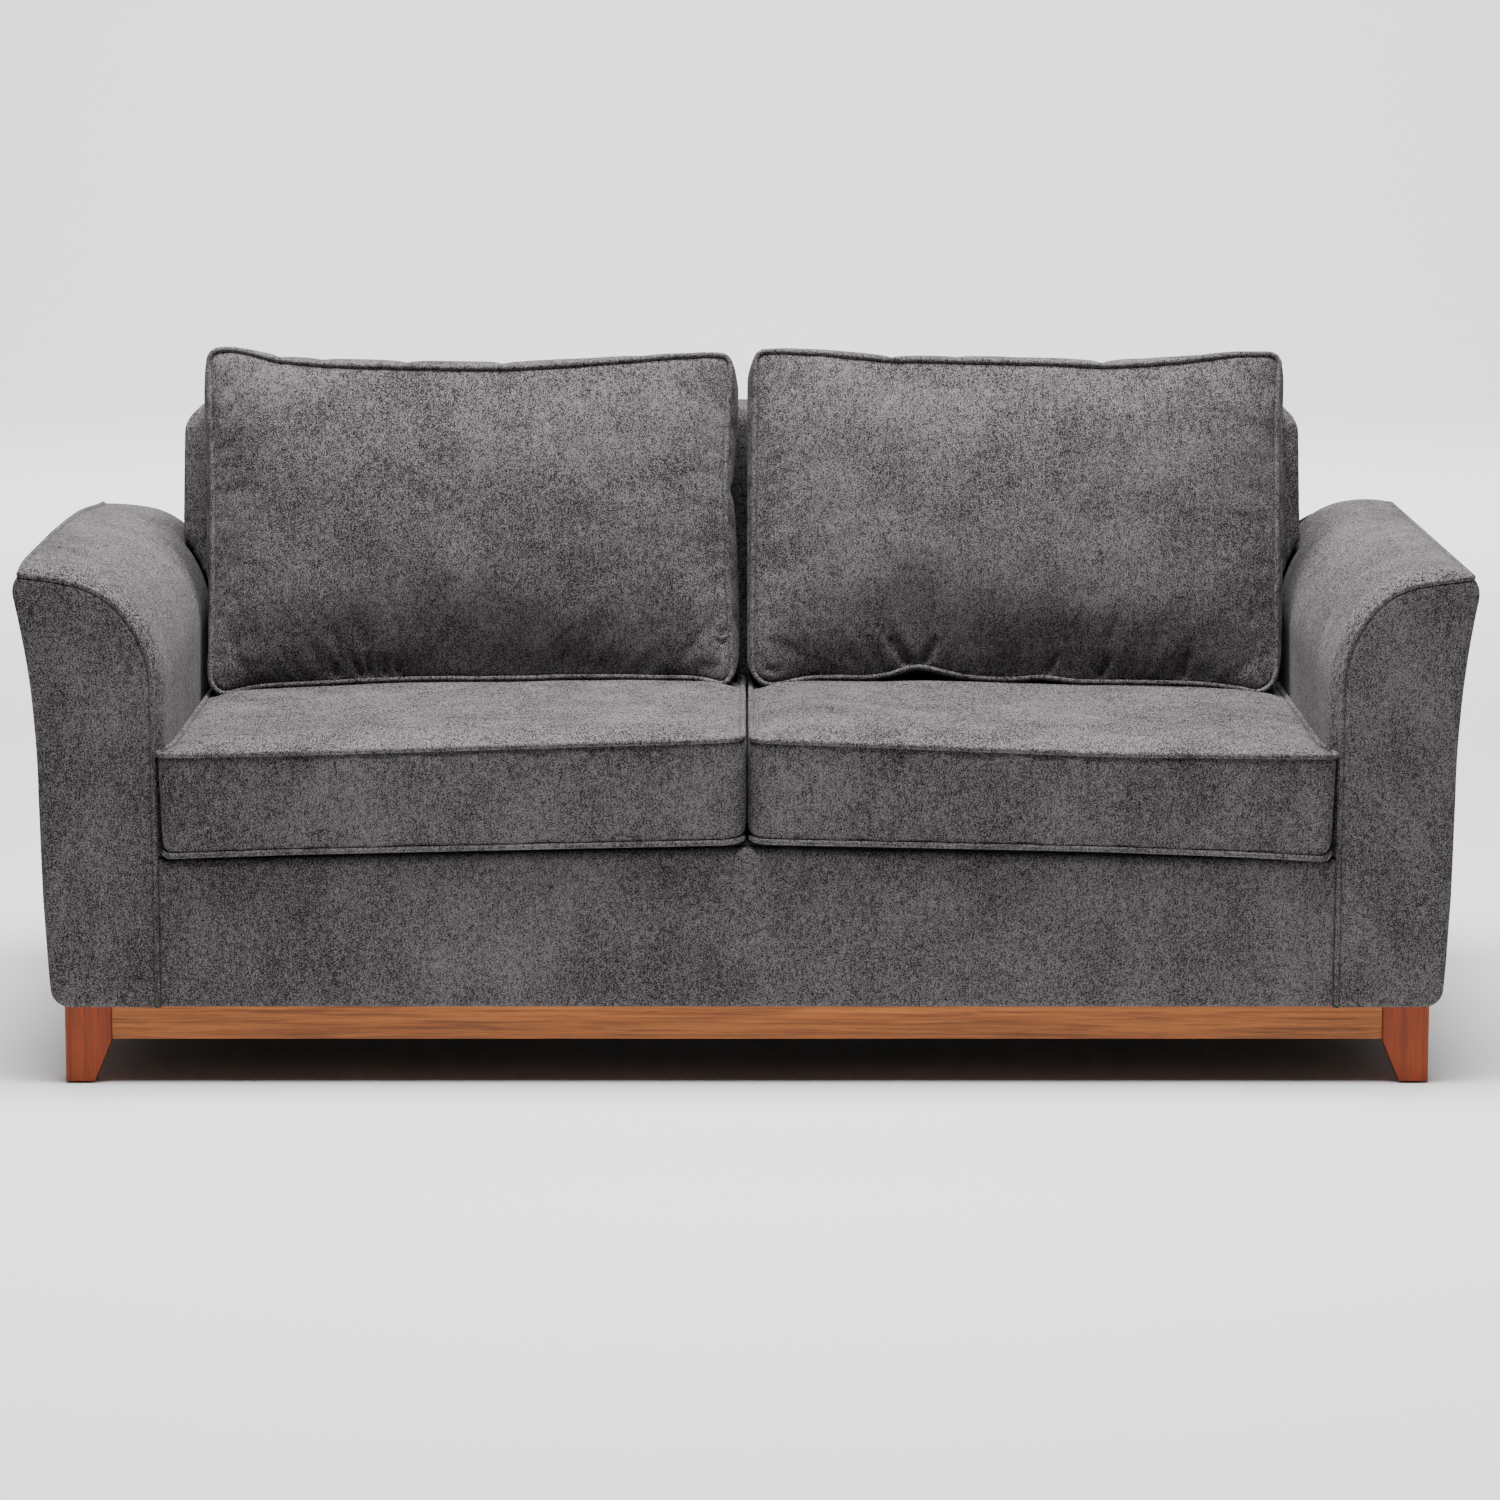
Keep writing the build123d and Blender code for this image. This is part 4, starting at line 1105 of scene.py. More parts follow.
def arm_face(proud=-0.003):
    """Grid of the right arm's flat front, rolled back at its edges."""
    inner_line = spaced(shoulder_points(proud, BASE_UNDERSIDE), 130)
    outer_line = spaced(side_points(0), 130)
    shares = np.linspace(0, 1, 46)
    shares = 0.45 * shares + 0.55 * (0.5 - 0.5 * np.cos(math.pi * shares))
    across = shares[None, :, None]
    flat = inner_line[:, None] * (1 - across) + outer_line[:, None] * across

    def nearest(line):
        line = spaced(line, 700)
        gaps = flat[:, :, None] - line[None, None]
        return np.sqrt((gaps**2).sum(axis=3).min(axis=2))

    to_outer = nearest(np.vstack((inner_line[:1], outer_line)))
    to_inner = nearest(inner_line)
    depth = PANEL_HIGH[1] - PANEL_LOW[1]

    rolled = np.maximum(roll(to_outer, 0.013, depth), roll(to_inner, 0.005, 0.6 * depth))
    to_edge, waves = np.minimum(to_outer, to_inner), (1, 0.12, 3.0, 0.0006)
    x, up = flat[..., 0], flat[..., 1]
    return padded_face(x, PANEL_LOW[1], up, rolled, to_edge, to_inner, waves)


def shifted_back(points):
    """Points of the back, whose part above the arms stands a little to the left."""
    points = np.array(points)
    side, fade, foot, height = 0.86, 0.02, 0.5, 0.2
    inside = ((side - np.abs(points[..., 0])) / fade).clip(0, 1)
    points[..., 0] -= BACK_SHIFT * rising(points[..., 2], foot, height) * inside
    return points


# Settings that a user would change
def a_number(name, about, default, low=0, **options):
    """Setting that is a number."""
    return FloatProperty(name=name, description=about, default=default, min=low, **options)


def a_length(name, about, default, low=0):
    """Setting that is a length in metres."""
    return a_number(name, about, default, low, unit="LENGTH")


def a_colour(name, about, default):
    """Setting that is a colour."""
    return FloatVectorProperty(
        name=name, description=about, default=default, subtype="COLOR", size=3, min=0, max=1
    )


class ClothSettings(bpy.types.PropertyGroup):
    dark_yarn: a_colour("Dark yarn", "Colour of the darker yarn", linear("#1a1413")[:3])
    pale_yarn: a_colour("Pale yarn", "Colour of the paler yarn", linear("#6e6b6c")[:3])
    tuft_size: a_length("Tuft size", "Width of one tuft of the pile", 1.7 * MM, 0.5 * MM)
    rib_size: a_length("Rib spacing", "Distance between rows of yarn", 2.5 * MM, 0.5 * MM)
    cloud_size: a_length("Cloud size", "Width of the clouds that the nap makes", 70 * MM, 5 * MM)
    pile_height: a_length("Pile height", "Relief of the pile", 1.2 * MM)
    sheen: a_number("Sheen", "How much the pile lights up at its edges", 0.08, max=1)
    piping_radius: a_length("Piping radius", "Radius of the piping in the seams", 4 * MM, 1 * MM)
    seat_pressure: a_number("Seat filling", "Pressure inside a seat cushion", 3.0)
    back_pressure: a_number("Back filling", "Pressure inside a back cushion", 4.0)


class StudioSettings(bpy.types.PropertyGroup):
    camera_distance: a_length("Camera distance", "From the front of the sofa to the camera", 6.5, 1)
    camera_height: a_length("Camera height", "Above the floor", 1.549)
    camera_pitch: FloatProperty(
        name="Camera pitch",
        description="How far the camera looks down",
        default=math.radians(9.5),
        subtype="ANGLE",
    )
    lens: a_number("Lens", "Focal length in mm", 118.1, 10)
    floor: a_colour("Floor", "Colour of floor and backdrop", (0.76, 0.76, 0.76))
    key_power: a_number("Key light", "Power of the overhead light, in watts", 800)
    fill_power: a_number("Fill light", "Power of the front light, in watts", 3)
    backdrop_power: a_number("Backdrop light", "Power of the backdrop's light, in watts", 1500)
    rear_power: a_number("Rear light", "Power of the light behind the sofa, in watts", 120)


# Operators
class SOFA_OT_studio(bpy.types.Operator):
    """Camera at the photograph's angle, pale floor and backdrop, and soft lights"""

    bl_idname = "sofa.studio"
    bl_label = "Studio"

    # Backdrop paper: half its width, where it starts, where it bends up, the bend, and its top
    HALF_WIDTH, START, BEND_START, BEND, TOP = 14.0, -14.0, 9.0, 3.0, 9.0

    def backdrop(self, colour):
        """Pale floor that bends up into a wall behind the sofa."""
        # Matt paper: one even pale tone, without a shine
        paper = bpy.data.materials.new("studio paper, matt")
        paper.use_nodes = True
        shader = paper.node_tree.nodes["Principled BSDF"]
        shader.inputs["Base Color"].default_value = (*colour, 1)
        shader.inputs["Roughness"].default_value = 0.9
        profile = [(self.START, 0.0), (self.BEND_START, 0.0)]
        for turn in np.linspace(0, math.pi / 2, 13)[1:]:
            rise = self.BEND - self.BEND * math.cos(turn)
            profile.append((self.BEND_START + self.BEND * math.sin(turn), rise))
        profile.append((self.BEND_START + self.BEND, self.TOP))
        sides = (-self.HALF_WIDTH, self.HALF_WIDTH)
        points = [(x, y, z) for y, z in profile for x in sides]
        corners = (0, 1, 3, 2)
        faces = [[2 * row + corner for corner in corners] for row in range(len(profile) - 1)]
        mesh = bpy.data.meshes.new("backdrop")
        mesh.from_pydata(points, [], faces)
        mesh.shade_smooth()
        mesh.materials.append(paper)
        backdrop = add_object("backdrop", mesh)

    def execute(self, context):
        studio = context.scene.sofa_studio
        data = bpy.data.cameras.new("camera")
        data.lens = studio.lens
        data.sensor_width = 36
        data.shift_x = 0.002
        data.shift_y = 0.0013
        camera = add_object("camera", data)
        front = -0.44
        camera.location = (0, front - studio.camera_distance, studio.camera_height)
        camera.rotation_euler = (math.pi / 2 - studio.camera_pitch, 0, 0)
        context.scene.camera = camera
        self.backdrop(studio.floor)

        # Each light: its power, its place, where it aims, and its size
        sofa, wall = Vector((0, 0, 0.45)), Vector((0, 10.5, 0.5))
        lights = (
            ("key", studio.key_power, (0.0, -0.5, 4.7), sofa, (3.2, 2.2)),
            ("fill", studio.fill_power, (0.0, -6.0, 2.6), sofa, (4.0, 2.0)),
            ("backdrop light", studio.backdrop_power, (0.0, 5.5, 5.0), wall, (12.0, 3.0)),
            ("rear light", studio.rear_power, (0.0, 5.0, 5.6), sofa, (3.0, 2.0)),
        )
        for name, power, place, aim, size in lights:
            lamp = bpy.data.lights.new(name, "AREA")
            lamp.shape = "RECTANGLE"
            lamp.energy = power
            lamp.size, lamp.size_y = size
            light = add_object(name, lamp)
            light.location = place
            light.rotation_euler = (aim - Vector(place)).to_track_quat("-Z", "Y").to_euler()
        world = bpy.data.worlds.new("studio air")
        world.use_nodes = True
        air = world.node_tree.nodes["Background"].inputs
        air["Color"].default_value = (1, 1, 1, 1)
        air["Strength"].default_value = 0.05
        context.scene.world = world
        return {"FINISHED"}


class SOFA_OT_arms(bpy.types.Operator):
    """Padded inner sides, flared outer sides and flat fronts of both arms"""

    bl_idname = "sofa.arms"
    bl_label = "Arms"

    def pad(self, side):
        """Grids of an arm's padding on the right side, from its front seam back."""
        runs = np.concatenate(
            (np.linspace(0, CROWN_LENGTH, 14)[:-1], np.arange(CROWN_LENGTH, 1.0, 0.012))
        )
        length = PAD_HIGH[1] - PAD_LOW[1]
        runs = np.append(runs[runs < length - 0.004], length)
        outer, inner = [], []
        full = 0.15
        for run in runs:
            share = 1 - (1 - min(run / CROWN_LENGTH, 1)) ** 4
            thinned = (side < 0) * max(0, run / length - full) / (1 - full)
            thinner = 1 - (1 - LEFT_THINNING) * thinned
            depth = PAD_LOW[1] + run - CLEARANCE
            line = shoulder_points(ARM_PAD_PROUD * share * thinner + CLEARANCE, PAD_LOW[2])
            outer.append(in_depth(spaced(line, 140, 0.6), depth))
            line = shoulder_points(-ARM_BOARD_INSET, PAD_LOW[2])
            inner.append(in_depth(spaced(line, 140, 0.6), depth))
        outer, inner = np.array(outer), np.array(inner)
        # Puckers beside the front seam, waves behind them, and a groove along the tip's seam
        puckers = cloudy(outer * np.array((1, 0.15, 1)), 0.022) * np.exp(-runs / 0.02)[:, None]
        waves = cloudy(outer, 0.16, 5.0)
        from_foot = np.linspace(0, 6, outer.shape[1])
        edge = np.minimum(1, from_foot) * from_foot[::-1].clip(0, 1)
        behind_front = (1 - np.exp(-runs / 0.05))[:, None]
        lift = (0.0012 * puckers + 0.0016 * waves * behind_front) * edge[None]
        from_tip = np.linalg.norm(outer - outer[:, -1:], axis=2)
        groove = np.exp(-((from_tip / 0.0065) ** 2)) * (1 - np.exp(-runs / 0.01))[:, None]
        lift = lift - 0.0035 * groove
        normals = grid_normals(outer)
        middle = normals[len(normals) // 2, 10]
        if middle[0] > 0:
            normals = -normals
        return outer + normals * lift[..., None], inner

    def outside(self):
        """Grids of the right arm's outer side."""
        depths = np.linspace(PAD_LOW[1], PAD_HIGH[1], 60)
        outer_line, inner_line = (spaced(side_points(inset), 100) for inset in (0, OUTER_PANEL))
        outer = np.array([in_depth(outer_line, y) for y in depths])
        inner = np.array([in_depth(inner_line, y) for y in depths])
        normals = grid_normals(outer)
        if normals[30, 50, 0] < 0:
            normals = -normals
        waves = cloudy(outer, 0.2, 9.0) * 0.0012 - 0.0006
        return outer + normals * waves[..., None], inner

    def front(self):
        """Grids of the right arm's flat front."""
        outer = arm_face()
        return outer, grid_of(outer[..., 0], PANEL_HIGH[1], outer[..., 2])

    def execute(self, context):
        fabric = upholstery()
        outside, front = self.outside(), self.front()
        for name, side in SIDES:
            pieces = {
                "arm_pad": self.pad(side),
                "arm_outer_panel": outside,
                "arm_front_panel": front,
            }
            for node, grids in pieces.items():
                placed = grids if side > 0 else [mirrored(fuller(grid)) for grid in grids]
                piece = shell(f"{node}_cover_{name}", [placed], fabric)
                settle(piece, "frame", "upholstery", f"{node}_{name}")
        return {"FINISHED"}


class SOFA_OT_arm_piping(bpy.types.Operator):
    """Piping up the front of each arm, over the shoulder and back along its outer edge"""

    bl_idname = "sofa.arm_piping"
    bl_label = "Arm piping"

    def execute(self, context):
        depth = PANEL_LOW[1] + 3.6 * MM
        front = in_depth(spaced(shoulder_points(0, BASE_UNDERSIDE), 220), depth)
        tip = front[-1]
        turn = 0.006
        front = front[np.linalg.norm(front - tip, axis=1) > turn]
        corner = []
        for share in np.linspace(0, 1, 7)[1:-1]:
            start, end = front[-1], tip + np.array((0, turn, 0))
            corner.append((1 - share) ** 2 * start + 2 * share * (1 - share) * tip + share**2 * end)
        runs = np.linspace(turn, PAD_HIGH[1] - depth, 90)
        back = np.array([tip + np.array((0, run, 0)) for run in runs])
        line = np.concatenate((front, corner, back))
        for name, side in SIDES:
            seam = line if side > 0 else mirrored(fuller(line))
            piece = lay_piping(f"arm_piping_cord_{name}", [seam], False)
            settle(piece, "frame", "piping", f"arm_piping_{name}")
        return {"FINISHED"}


class SOFA_OT_base_panel(bpy.types.Operator):
    """Upholstered front of the base between the arms"""

    bl_idname = "sofa.base_panel"
    bl_label = "Base panel"

    def execute(self, context):
        half = HALF_OPENING - 3 * MM
        across = stations(-half, half, 260, 0.35)
        top = BASE_HIGH[2] - 5 * MM - SEAT_FALL * np.abs(across) / half
        low = BASE_LOW[2]
        up = low + (top[:, None] - low) * stations(0, 1, 50, 0.6)[None]
        x = across[:, None]
        to_side, to_low, to_top = half - np.abs(x), up - low, top[:, None] - up
        # Its edges roll back: a little beside the arms, more at the foot, most below the cushions
        rolled = np.maximum(roll(to_side, 0.005, 0.005), roll(to_low, 0.012, 0.01))
        rolled = np.maximum(rolled, roll(to_top, 0.016, 0.0115))
        to_edge, waves = np.minimum(to_low, to_side), (0.6, 0.11, 2.0, 0.0009)
        outer = padded_face(x, BASE_LOW[1], up, rolled, to_edge, to_side, waves)
        inner = grid_of(x, BASE_HIGH[1], up)
        piece = shell("base_front_cover", [(outer, inner)], upholstery())
        settle(piece, "frame", "upholstery", "base_front_panel")
        return {"FINISHED"}


class SOFA_OT_back(bpy.types.Operator):
    """Padded back and its rear cover"""

    bl_idname = "sofa.back"
    bl_label = "Back"

    def execute(self, context):
        fabric = upholstery()
        piece = node_copy("back_pad", "back_cover", fabric)
        remesh = piece.modifiers.new("even", "REMESH")
        remesh.mode = "VOXEL"
        remesh.voxel_size = 0.008
        smooth = piece.modifiers.new("soft", "SMOOTH")
        smooth.iterations = 6
        baked(piece)
        piece.data.materials.clear()
        piece.data.materials.append(fabric)
        piece.data.shade_smooth()
        set_points(piece, shifted_back(points_of(piece)))
        settle(piece, "frame", "upholstery", "back_pad")

        rear = shell("rear_cover_cloth", self.rear_layers(), fabric)
        settle(rear, "frame", "upholstery", "rear_cover")
        return {"FINISHED"}

    def rear_layers(self):
        """Rear cover: a panel over the back and one over the end of each arm, sewn side by side."""
        low, high = box_of("rear_cover")
        heights = stations(low[2], high[2], 90, 0.5)
        above = np.clip((heights - (BACK_TOP - BACK_CORNER)) / BACK_CORNER, 0, 1)
        halves = []
        for proud in (ARM_PAD_PROUD * LEFT_THINNING, ARM_PAD_PROUD):
            shoulder = shoulder_points(proud, low[2])
            half = np.interp(heights, shoulder[:, 1], shoulder[:, 0])
            half = np.where(heights > shoulder[:, 1].max(), BACK_HALF, half).clip(None, BACK_HALF)
            halves.append(half - BACK_CORNER * (1 - np.sqrt(1 - above**2)))
        across = stations(-1, 1, 170, 0.5)[None]
        half = np.where(across < 0, halves[0][:, None], halves[1][:, None])
        x, z = half * across, heights[:, None]
        away = np.minimum(np.minimum(z - low[2], high[2] - z), half - np.abs(x))
        dents = roll(away, 0.006, 0.0045) + 0.0005 + 0.0005 * cloudy(grid_of(x, z, z), 0.13, 6.0)
        centre = grid_of(x, high[1] - dents.clip(0), z)
        layers = [(centre, grid_of(x, low[1] + CLEARANCE, z))]
        for side in (-1, 1):
            face = arm_face(ARM_PAD_PROUD * (LEFT_THINNING if side < 0 else 1) - 0.001)
            shallow = (face[..., 1] - PANEL_LOW[1] + 0.0025).clip(0, None) * 0.35
            x, z = side * face[..., 0], face[..., 2]
            outer = grid_of(x, high[1] - np.minimum(shallow, 0.0045), z)
            layers.append((outer, grid_of(x, low[1] + CLEARANCE, z)))
        return [[shifted_back(grid) for grid in layer] for layer in layers]


class SOFA_OT_deck(bpy.types.Operator):
    """Felt and lining over the springs, straps of the back and the cloth under the base"""

    bl_idname = "sofa.deck"
    bl_label = "Deck, straps and dust cover"

    def layer(self, name, front, top, foot, thickness, material):
        """Layer of the seat deck: it falls from its middle to the arms and rolls down in front."""
        low, high = box_of("deck_cover")
        across = stations(low[0], high[0], 150)[:, None]
        bend = 10 * MM
        ridge = np.sqrt(across**2 + 0.01**2) - 0.01
        grids = []
        for inset in (0, thickness):
            line = [(front + inset, -foot), (front + inset, -bend)]
            for turn in np.linspace(0, math.pi / 2, 7)[1:]:
                reach = bend - inset
                line.append((front + bend - reach * math.cos(turn), reach * math.sin(turn) - bend))
            line.append((high[1] - inset * 0.1, -inset))
            line = np.vstack((spaced(line[:-1], 16), spaced(line[-2:], 60)[1:]))
            z = top - SEAT_FALL * ridge / high[0] + line[None, :, 1]
            grids.append(grid_of(across, line[None, :, 0], z))
        dips = 0.0006 * (cloudy(grids[0], 0.12, 11.0) - 1) * (grids[0][..., 1] > front + 2 * bend)
        for grid in grids:
            grid[..., 2] += dips
        return shell(name, [grids], material)

    def lay_deck(self):
        """Lining over felt."""
        # Black cotton weave, matt: its threads show as a faint grid, drawn coarser than they are
        lining = finish_of(
            "plain woven lining, black", woven_cloth, "#1d1c1d", "#353335", 1.2 * MM
        )
        # Grey wadding of mixed waste fibres, matt: pale and dark fibres show as a loose mottle
        felt = finish_of("needled felt, grey", woven_cloth, "#76726c", "#aaa6a0", 3 * MM)
        low, high = box_of("deck_cover")
        front_drop, hem = 20 * MM, 14 * MM
        cover = self.layer("deck_lining_cloth", LINING_FRONT, high[2], front_drop, 1.5 * MM, lining)
        settle(cover, "frame", "deck_lining", "deck_cover")

        pad = self.layer("deck_felt", FELT_FRONT, high[2] - 2.1 * MM, 12 * MM, 12 * MM, felt)
        points = points_of(pad)
        points[:, 2] = np.maximum(points[:, 2], box_of("deck_pad")[0][2])
        set_points(pad, points)
        settle(pad, "frame", "felt", "deck_pad")

    def lay_straps(self):
        """Elastic straps across the back's posts."""
        low, high = box_of("back_webbing")
        sine, cosine = math.sin(BACK_RAKE), math.cos(BACK_RAKE)
        thickness, width, pitch, total = 1.5 * MM, 50 * MM, 72 * MM, 5
        start = np.array((low[1] + thickness * cosine, low[2]))
        across = stations(low[0], high[0], 120)[:, None]
        up = stations(0, width, 9, 0.4)[None]
        edge = np.minimum(up, width - up) / (4 * MM)
        straps = []
        for count in range(total):
            grids = []
            for layer, thinning in ((thickness, 0.2 * MM), (0, 0)):
                rise = count * pitch + up
                height = layer + thinning * (np.clip(edge, 0, 1) - 1)
                y = start[0] + rise * sine - height * cosine
                z = start[1] + rise * cosine + height * sine
                grids.append(grid_of(across, y, z))
            straps.append(grids)
        # Rubber threads wound with black and grey yarn: matt, with ribs drawn coarser than they are
        webbing = finish_of("elastic webbing, ribbed", woven_cloth, "#211f1e", "#4d4a46", 2 * MM)
        piece = shell("back_straps", straps, webbing)
        settle(piece, "frame", "webbing", "back_webbing")

    def lay_dust_cover(self):
        """Thin cloth under the base, cut out round the feet."""
        low, high = box_of("dust_cover")
        foot_low, foot_high = box_of("foot_front_right")
        notch = foot_low[0] - CLEARANCE
        front, rear = foot_high[1] + CLEARANCE, box_of("foot_rear_right")[0][1] - CLEARANCE

        def cuts(places, inner_count):
            spans = zip(places, places[1:], (5, inner_count, 5))
            rows = [stations(start, end, count)[1:] for start, end, count in spans]
            return np.concatenate((places[:1], *rows))

        xs = cuts((low[0], -notch, notch, high[0]), 100)
        ys = cuts((low[1], front, rear, high[1]), 42)
        places = grid_of(xs[:, None], ys[None], (low[2] + high[2]) / 2)
        places[..., 2] -= 0.001 * (1 + cloudy(places, 0.15, 13.0))
        index = np.arange(len(xs) * len(ys)).reshape(places.shape[:2])
        faces = []
        for column in range(len(xs) - 1):
            for row in range(len(ys) - 1):
                x, y = (xs[column] + xs[column + 1]) / 2, (ys[row] + ys[row + 1]) / 2
                if abs(x) < notch or front < y < rear:
                    faces.append([int(index[column + a, row + b]) for a, b in SQUARE])
        used = sorted({corner for face in faces for corner in face})
        renumbered = {old: new for new, old in enumerate(used)}
        faces = [[renumbered[corner] for corner in face] for face in faces]
        # Spun-bonded polypropylene: black and dull, with a faint grain of fibres
        cloth = finish_of(
            "spun-bonded dust cloth, black", woven_cloth, "#121213", "#232324", 1 * MM
        )
        piece = make_object("dust_cloth_sheet", places.reshape(-1, 3)[used], faces, cloth)
        wall = piece.modifiers.new("cloth", "SOLIDIFY")
        wall.thickness = 0.8 * MM
        wall.offset = 0
        baked(piece)
        settle(piece, "frame", "dust_cloth", "dust_cover")

    def execute(self, context):
        self.lay_deck()
        self.lay_straps()
        self.lay_dust_cover()
        return {"FINISHED"}


class SOFA_OT_seat_cushions(bpy.types.Operator):
    """Loose box seat cushions with piping in both seams"""

    bl_idname = "sofa.seat_cushions"
    bl_label = "Seat cushions"

    def kept_clear(self, points, form, name, side):
        """Points of a cover in the sofa's frame, kept off its zip, deck, neighbour and arm."""
        half_depth = abs(form.seams[0][0][1])
        points[:, 1] = -eased_limit(-points[:, 1], half_depth + 1 * MM, 1.5 * MM)
        zip_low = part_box(f"seat_zip_{name}")[0][1] - form.origin[1]
        points[:, 1] = eased_limit(points[:, 1], zip_low - 0.2 * MM, 1 * MM)
        points[:, 2] = np.maximum(points[:, 2], -REAR_BULGE)
        points = form.world(points)
        inward = np.abs(points[:, 0]) < 0.1
        points[inward, 0] = side * np.maximum(side * points[inward, 0], 0.5 * MM)
        squeezed = np.clip((points[:, 1] - SQUEEZE_START) / 0.06, 0, 1)
        limit = HALF_OPENING - 1.5 * MM - (ARM_PAD_PROUD - 0.7 * MM) * squeezed**0.5
        points[:, 0] = side * eased_limit(side * points[:, 0], limit, 1 * MM)
        return points

    def execute(self, context):
        cloth = context.scene.sofa_cloth
        for name, side in SIDES:
            form = seat_form(side)
            piece, seam = cushion_mesh(
                f"seat_cushion_cover_{name}",
                form,
                step=0.01,
                crown=0.006,
                bulge=0.0045,
                tuck=0.0024,
            )
            caps = (1 * MM, 8 * MM, 11 * MM)
            points = inflate(piece, seam, form, cloth.seat_pressure, caps)
            set_points(piece, self.kept_clear(points, form, name, side))
            subdivided(piece)
            points = lumps(form, points_of(piece), size=0.15, depth=0.0022)
            set_points(piece, sagged(points, name, side))
            body = f"{name}_seat"
            settle(piece, body, "upholstery", f"seat_cushion_{name}")
            seams = [sagged(form.seam_line(layer), name, side) for layer in (0, 1)]
            piping = lay_piping(f"seat_piping_cord_{name}", seams, True)
            settle(piping, body, "piping", f"seat_piping_{name}")
        return {"FINISHED"}


class SOFA_OT_back_cushions(bpy.types.Operator):
    """Loose box back cushions, crowned and drawn in, with piping in both seams"""

    bl_idname = "sofa.back_cushions"
    bl_label = "Back cushions"

    def kept_clear(self, points, form, side):
        """Points of a cover in the sofa's frame, kept off the back, its neighbour and the arm.

        Its border is held behind the front seam, most of all beside that seam.
        """
        points[:, 2] = np.maximum(points[:, 2], -REAR_BULGE)
        seam_side = form.face_grid(1, 0.008, 0.0)[-1 if side < 0 else 0]
        reach = np.interp(points[:, 1], seam_side[:, 1], seam_side[:, 0])
        depth = 1 - (points[:, 2] / form.thickness).clip(0, 1)
        room = 2.5 * MM + 40 * MM * depth
        points[:, 0] = reach - side * np.minimum(side * (reach - points[:, 0]), room)
        points = form.world(points)
        inner = CUSHION_PARTING + side * HALF_PARTING
        points[:, 0] = -side * eased_limit(-side * points[:, 0], -side * inner, 1 * MM)
        low = points[:, 2] < BACK_REACH_TOP
        points[low, 0] = side * eased_limit(side * points[low, 0], BACK_LOW_REACH, 1 * MM)
        return points

    def execute(self, context):
        cloth = context.scene.sofa_cloth
        for name, side in SIDES:
            seat_height = height_over(bpy.data.objects[f"seat_cushion_cover_{name}"])
            form = back_form(name, seat_height)
            piece, seam = cushion_mesh(
                f"back_cushion_cover_{name}",
                form,
                step=0.0085,
                crown=0.024,
                bulge=0.008,
                tuck=0.0012,
            )
            caps = (2 * MM, 12 * MM, 30 * MM)
            points = inflate(piece, seam, form, cloth.back_pressure, caps)
            set_points(piece, self.kept_clear(points, form, side))
            subdivided(piece)
            points = lumps(form, points_of(piece), size=0.13, depth=0.004)
            points = folded(form, points, BACK_SHAPES[name]["folds"])
            # What hangs into the seat cushion comes to rest on it
            for index in np.flatnonzero(points[:, 2] < 0.5):
                x, y, z = points[index]
                points[index, 2] = max(z, seat_height(x, y) + COVER_GAP)
            set_points(piece, points)
            body = f"{name}_back"
            settle(piece, body, "upholstery", f"back_cushion_{name}")
            seams = [form.seam_line(layer) for layer in (0, 1)]
            piping = lay_piping(f"back_piping_cord_{name}", seams, True)
            settle(piping, body, "piping", f"back_piping_{name}")
        return {"FINISHED"}


class SOFA_OT_plinth(bpy.types.Operator):
    """Stained feet and aprons with eased edges"""

    bl_idname = "sofa.plinth"
    bl_label = "Plinth"

    def execute(self, context):
        # Hardwood, sanded, stained and sprayed with satin lacquer. The feet's red stain is nearly
        # even; the aprons' golden one lets fine grain and darker streaks through. Each wood: name,
        # pale and dark tone, axis and width of its grain, what a streak leaves of the light, seed.
        foot, apron = ("#943c0a", "#7a2e06"), ("#b56b30", "#7c421c")
        woods = {
            "foot": ("stained hardwood, upright grain", *foot, 2, 6 * MM, 0.88, 0.3),
            "apron_across": ("stained hardwood, grain along the sofa", *apron, 0, 5 * MM, 0.6, 0.7),
            "apron_deep": ("stained hardwood, grain front to back", *apron, 1, 5 * MM, 0.6, 0.9),
        }
        woods = {kind: lacquered_wood(*settings) for kind, settings in woods.items()}
        pieces = []
        for place in ("front", "rear"):
            pieces += [(f"foot_{place}_{side}", "foot", "foot_wood") for side, _ in SIDES]
            pieces.append((f"apron_{place}", "apron_across", "apron_wood"))
        pieces += [(f"apron_side_{side}", "apron_deep", "apron_wood") for side, _ in SIDES]
        for node, wood, slot in pieces:
            piece = node_copy(node, f"{node}_eased", woods[wood])
            bevel = piece.modifiers.new("eased edge", "BEVEL")
            bevel.width = 0.0012
            bevel.segments = 2
            bevel.limit_method = "ANGLE"
            bevel.harden_normals = True
            baked(piece)
            settle(piece, "frame", slot, node)
        return {"FINISHED"}


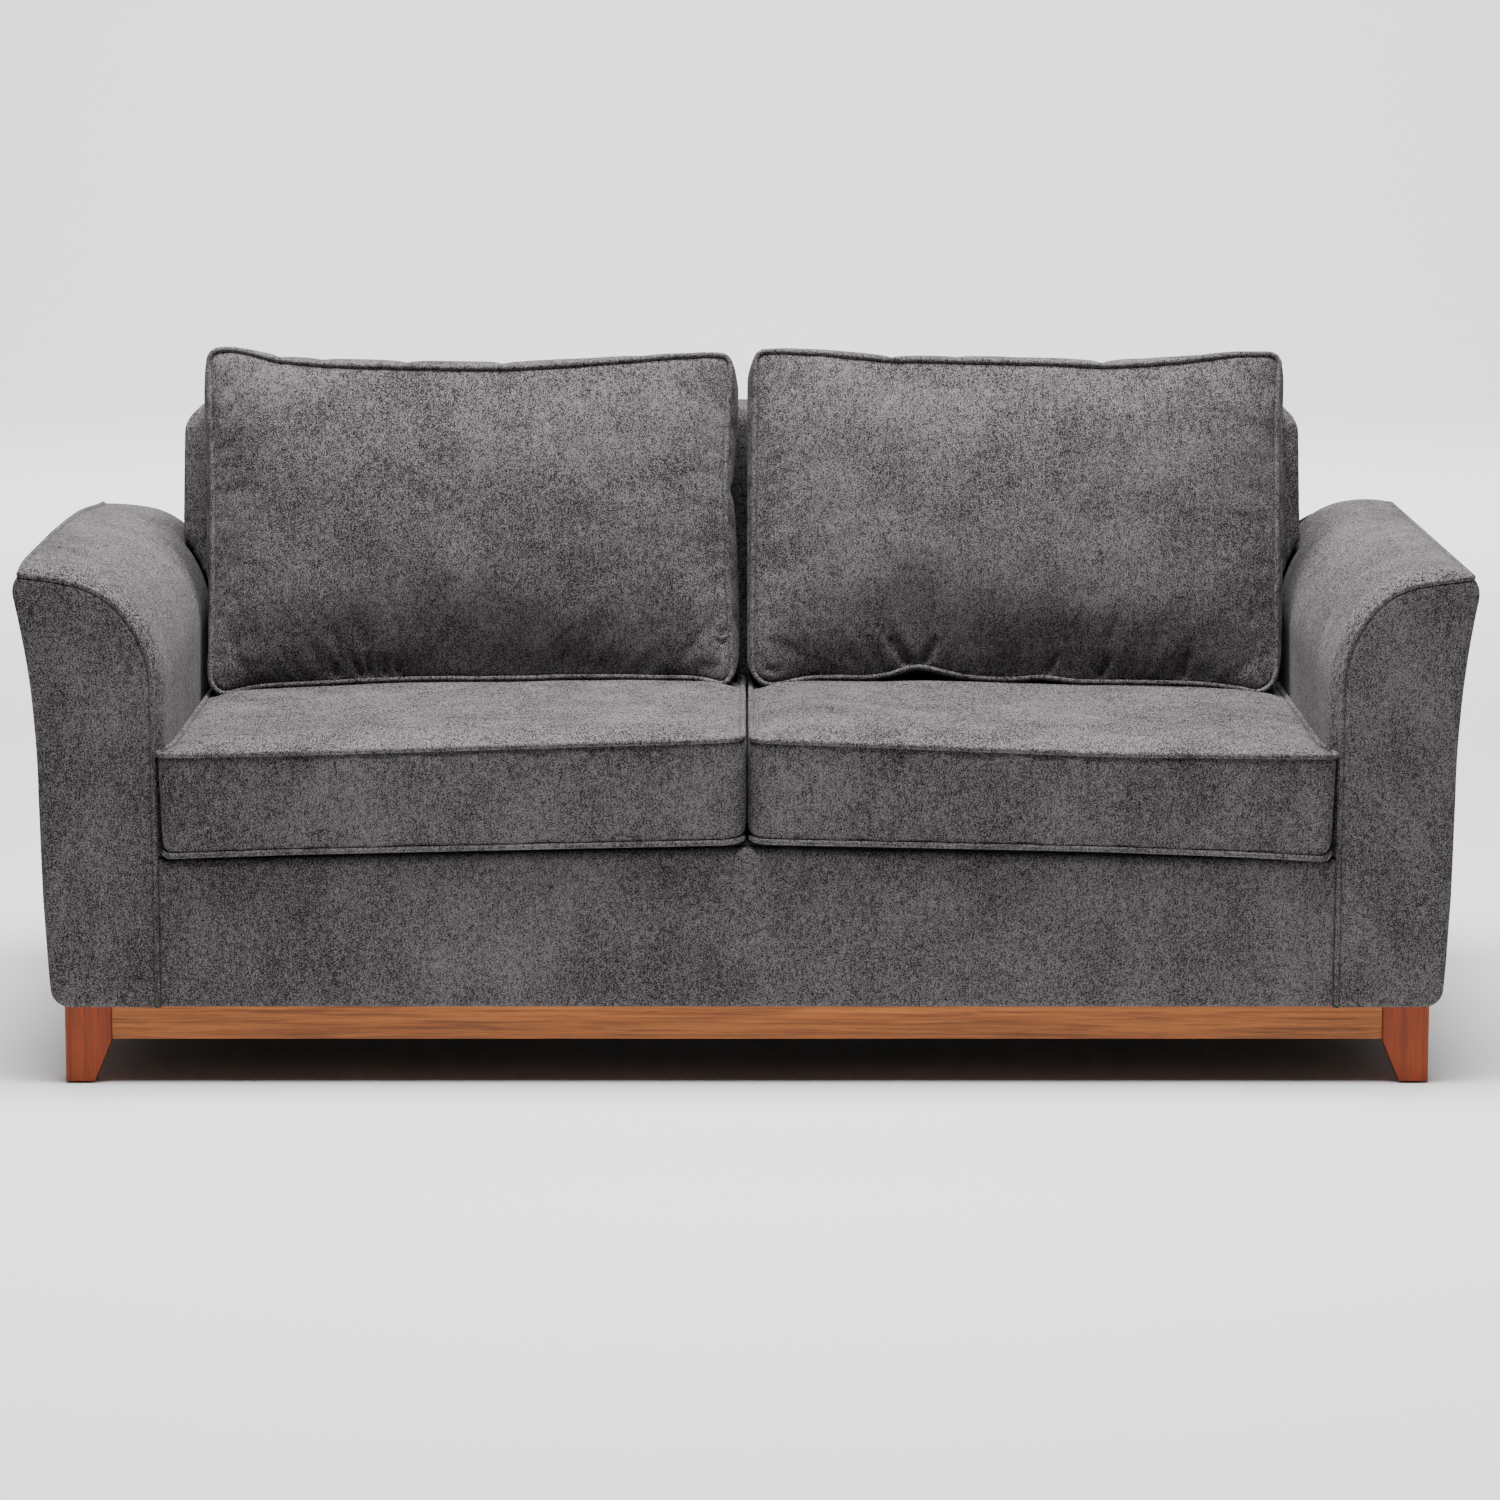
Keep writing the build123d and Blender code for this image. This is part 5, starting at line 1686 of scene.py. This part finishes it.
class SOFA_OT_hidden_parts(bpy.types.Operator):
    """Finishes of the frame, springs, linings and fittings that the upholstery hides"""

    bl_idname = "sofa.hidden_parts"
    bl_label = "Hidden parts"

    def execute(self, context):
        # Each slot's finish: its name, dark and pale tone, size of its specks, roughness, metallic.
        # Softwood is planed and bare: pale, with a silky grain. Fibreboard is pressed: brown, with
        # fine flecks. Spring steel is drawn and oiled: dark, with a soft gleam. Bolts are zinc
        # plated: bright grey. Zips are black tape with a matt moulded chain. Glides are moulded
        # polyethylene: dark brown, with a waxy shine.
        finishes = {
            "frame_timber": ("planed softwood", "#b08a5c", "#cfae80", 20 * MM, 0.7),
            "fibreboard": ("pressed fibreboard", "#6a4b30", "#80603f", 2 * MM, 0.8),
            "spring_steel": ("oiled spring steel", "#4a4a4c", "#67676a", 4 * MM, 0.4, 1.0),
            "bolt_steel": ("zinc-plated steel", "#9a9a9d", "#b9b9bc", 3 * MM, 0.35, 1.0),
            "zip": ("zip tape and moulded chain", "#202021", "#2e2e30", 2 * MM, 0.6),
            "glide_plastic": ("moulded polyethylene", "#2a241f", "#352e28", 2 * MM, 0.5),
        }
        finishes = {slot: plain_finish(*settings) for slot, settings in finishes.items()}
        for entry in frame["record"]["subparts"]:
            finish = finishes.get(entry["material_slot"])
            node = frame["nodes"][entry["node"]]
            if finish and not node.hide_render:
                node.data.materials.clear()
                node.data.materials.append(finish)
        return {"FINISHED"}


class SOFA_PT_panel(bpy.types.Panel):
    """Lists what the sofa is made of"""

    bl_idname = "SOFA_PT_panel"
    bl_label = "Sofa"
    bl_space_type = "VIEW_3D"
    bl_region_type = "UI"
    bl_category = "Sofa"

    def draw(self, context):
        for maker in STEPS:
            self.layout.operator(maker.bl_idname)
        for settings in (context.scene.sofa_cloth, context.scene.sofa_studio):
            for name in settings.__annotations__:
                self.layout.prop(settings, name)


STEPS = (
    SOFA_OT_studio,
    SOFA_OT_arms,
    SOFA_OT_arm_piping,
    SOFA_OT_base_panel,
    SOFA_OT_back,
    SOFA_OT_deck,
    SOFA_OT_seat_cushions,
    SOFA_OT_back_cushions,
    SOFA_OT_plinth,
    SOFA_OT_hidden_parts,
)
CLASSES = (ClothSettings, StudioSettings, *STEPS, SOFA_PT_panel)


def register():
    for item in CLASSES:
        bpy.utils.register_class(item)
    bpy.types.Scene.sofa_cloth = PointerProperty(type=ClothSettings)
    bpy.types.Scene.sofa_studio = PointerProperty(type=StudioSettings)


def unregister():
    del bpy.types.Scene.sofa_studio
    del bpy.types.Scene.sofa_cloth
    for item in reversed(CLASSES):
        bpy.utils.unregister_class(item)


def main():
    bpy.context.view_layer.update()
    register()
    for maker in STEPS:
        group, name = maker.bl_idname.split(".")
        getattr(getattr(bpy.ops, group), name)()


if __name__ == "__main__":
    main()
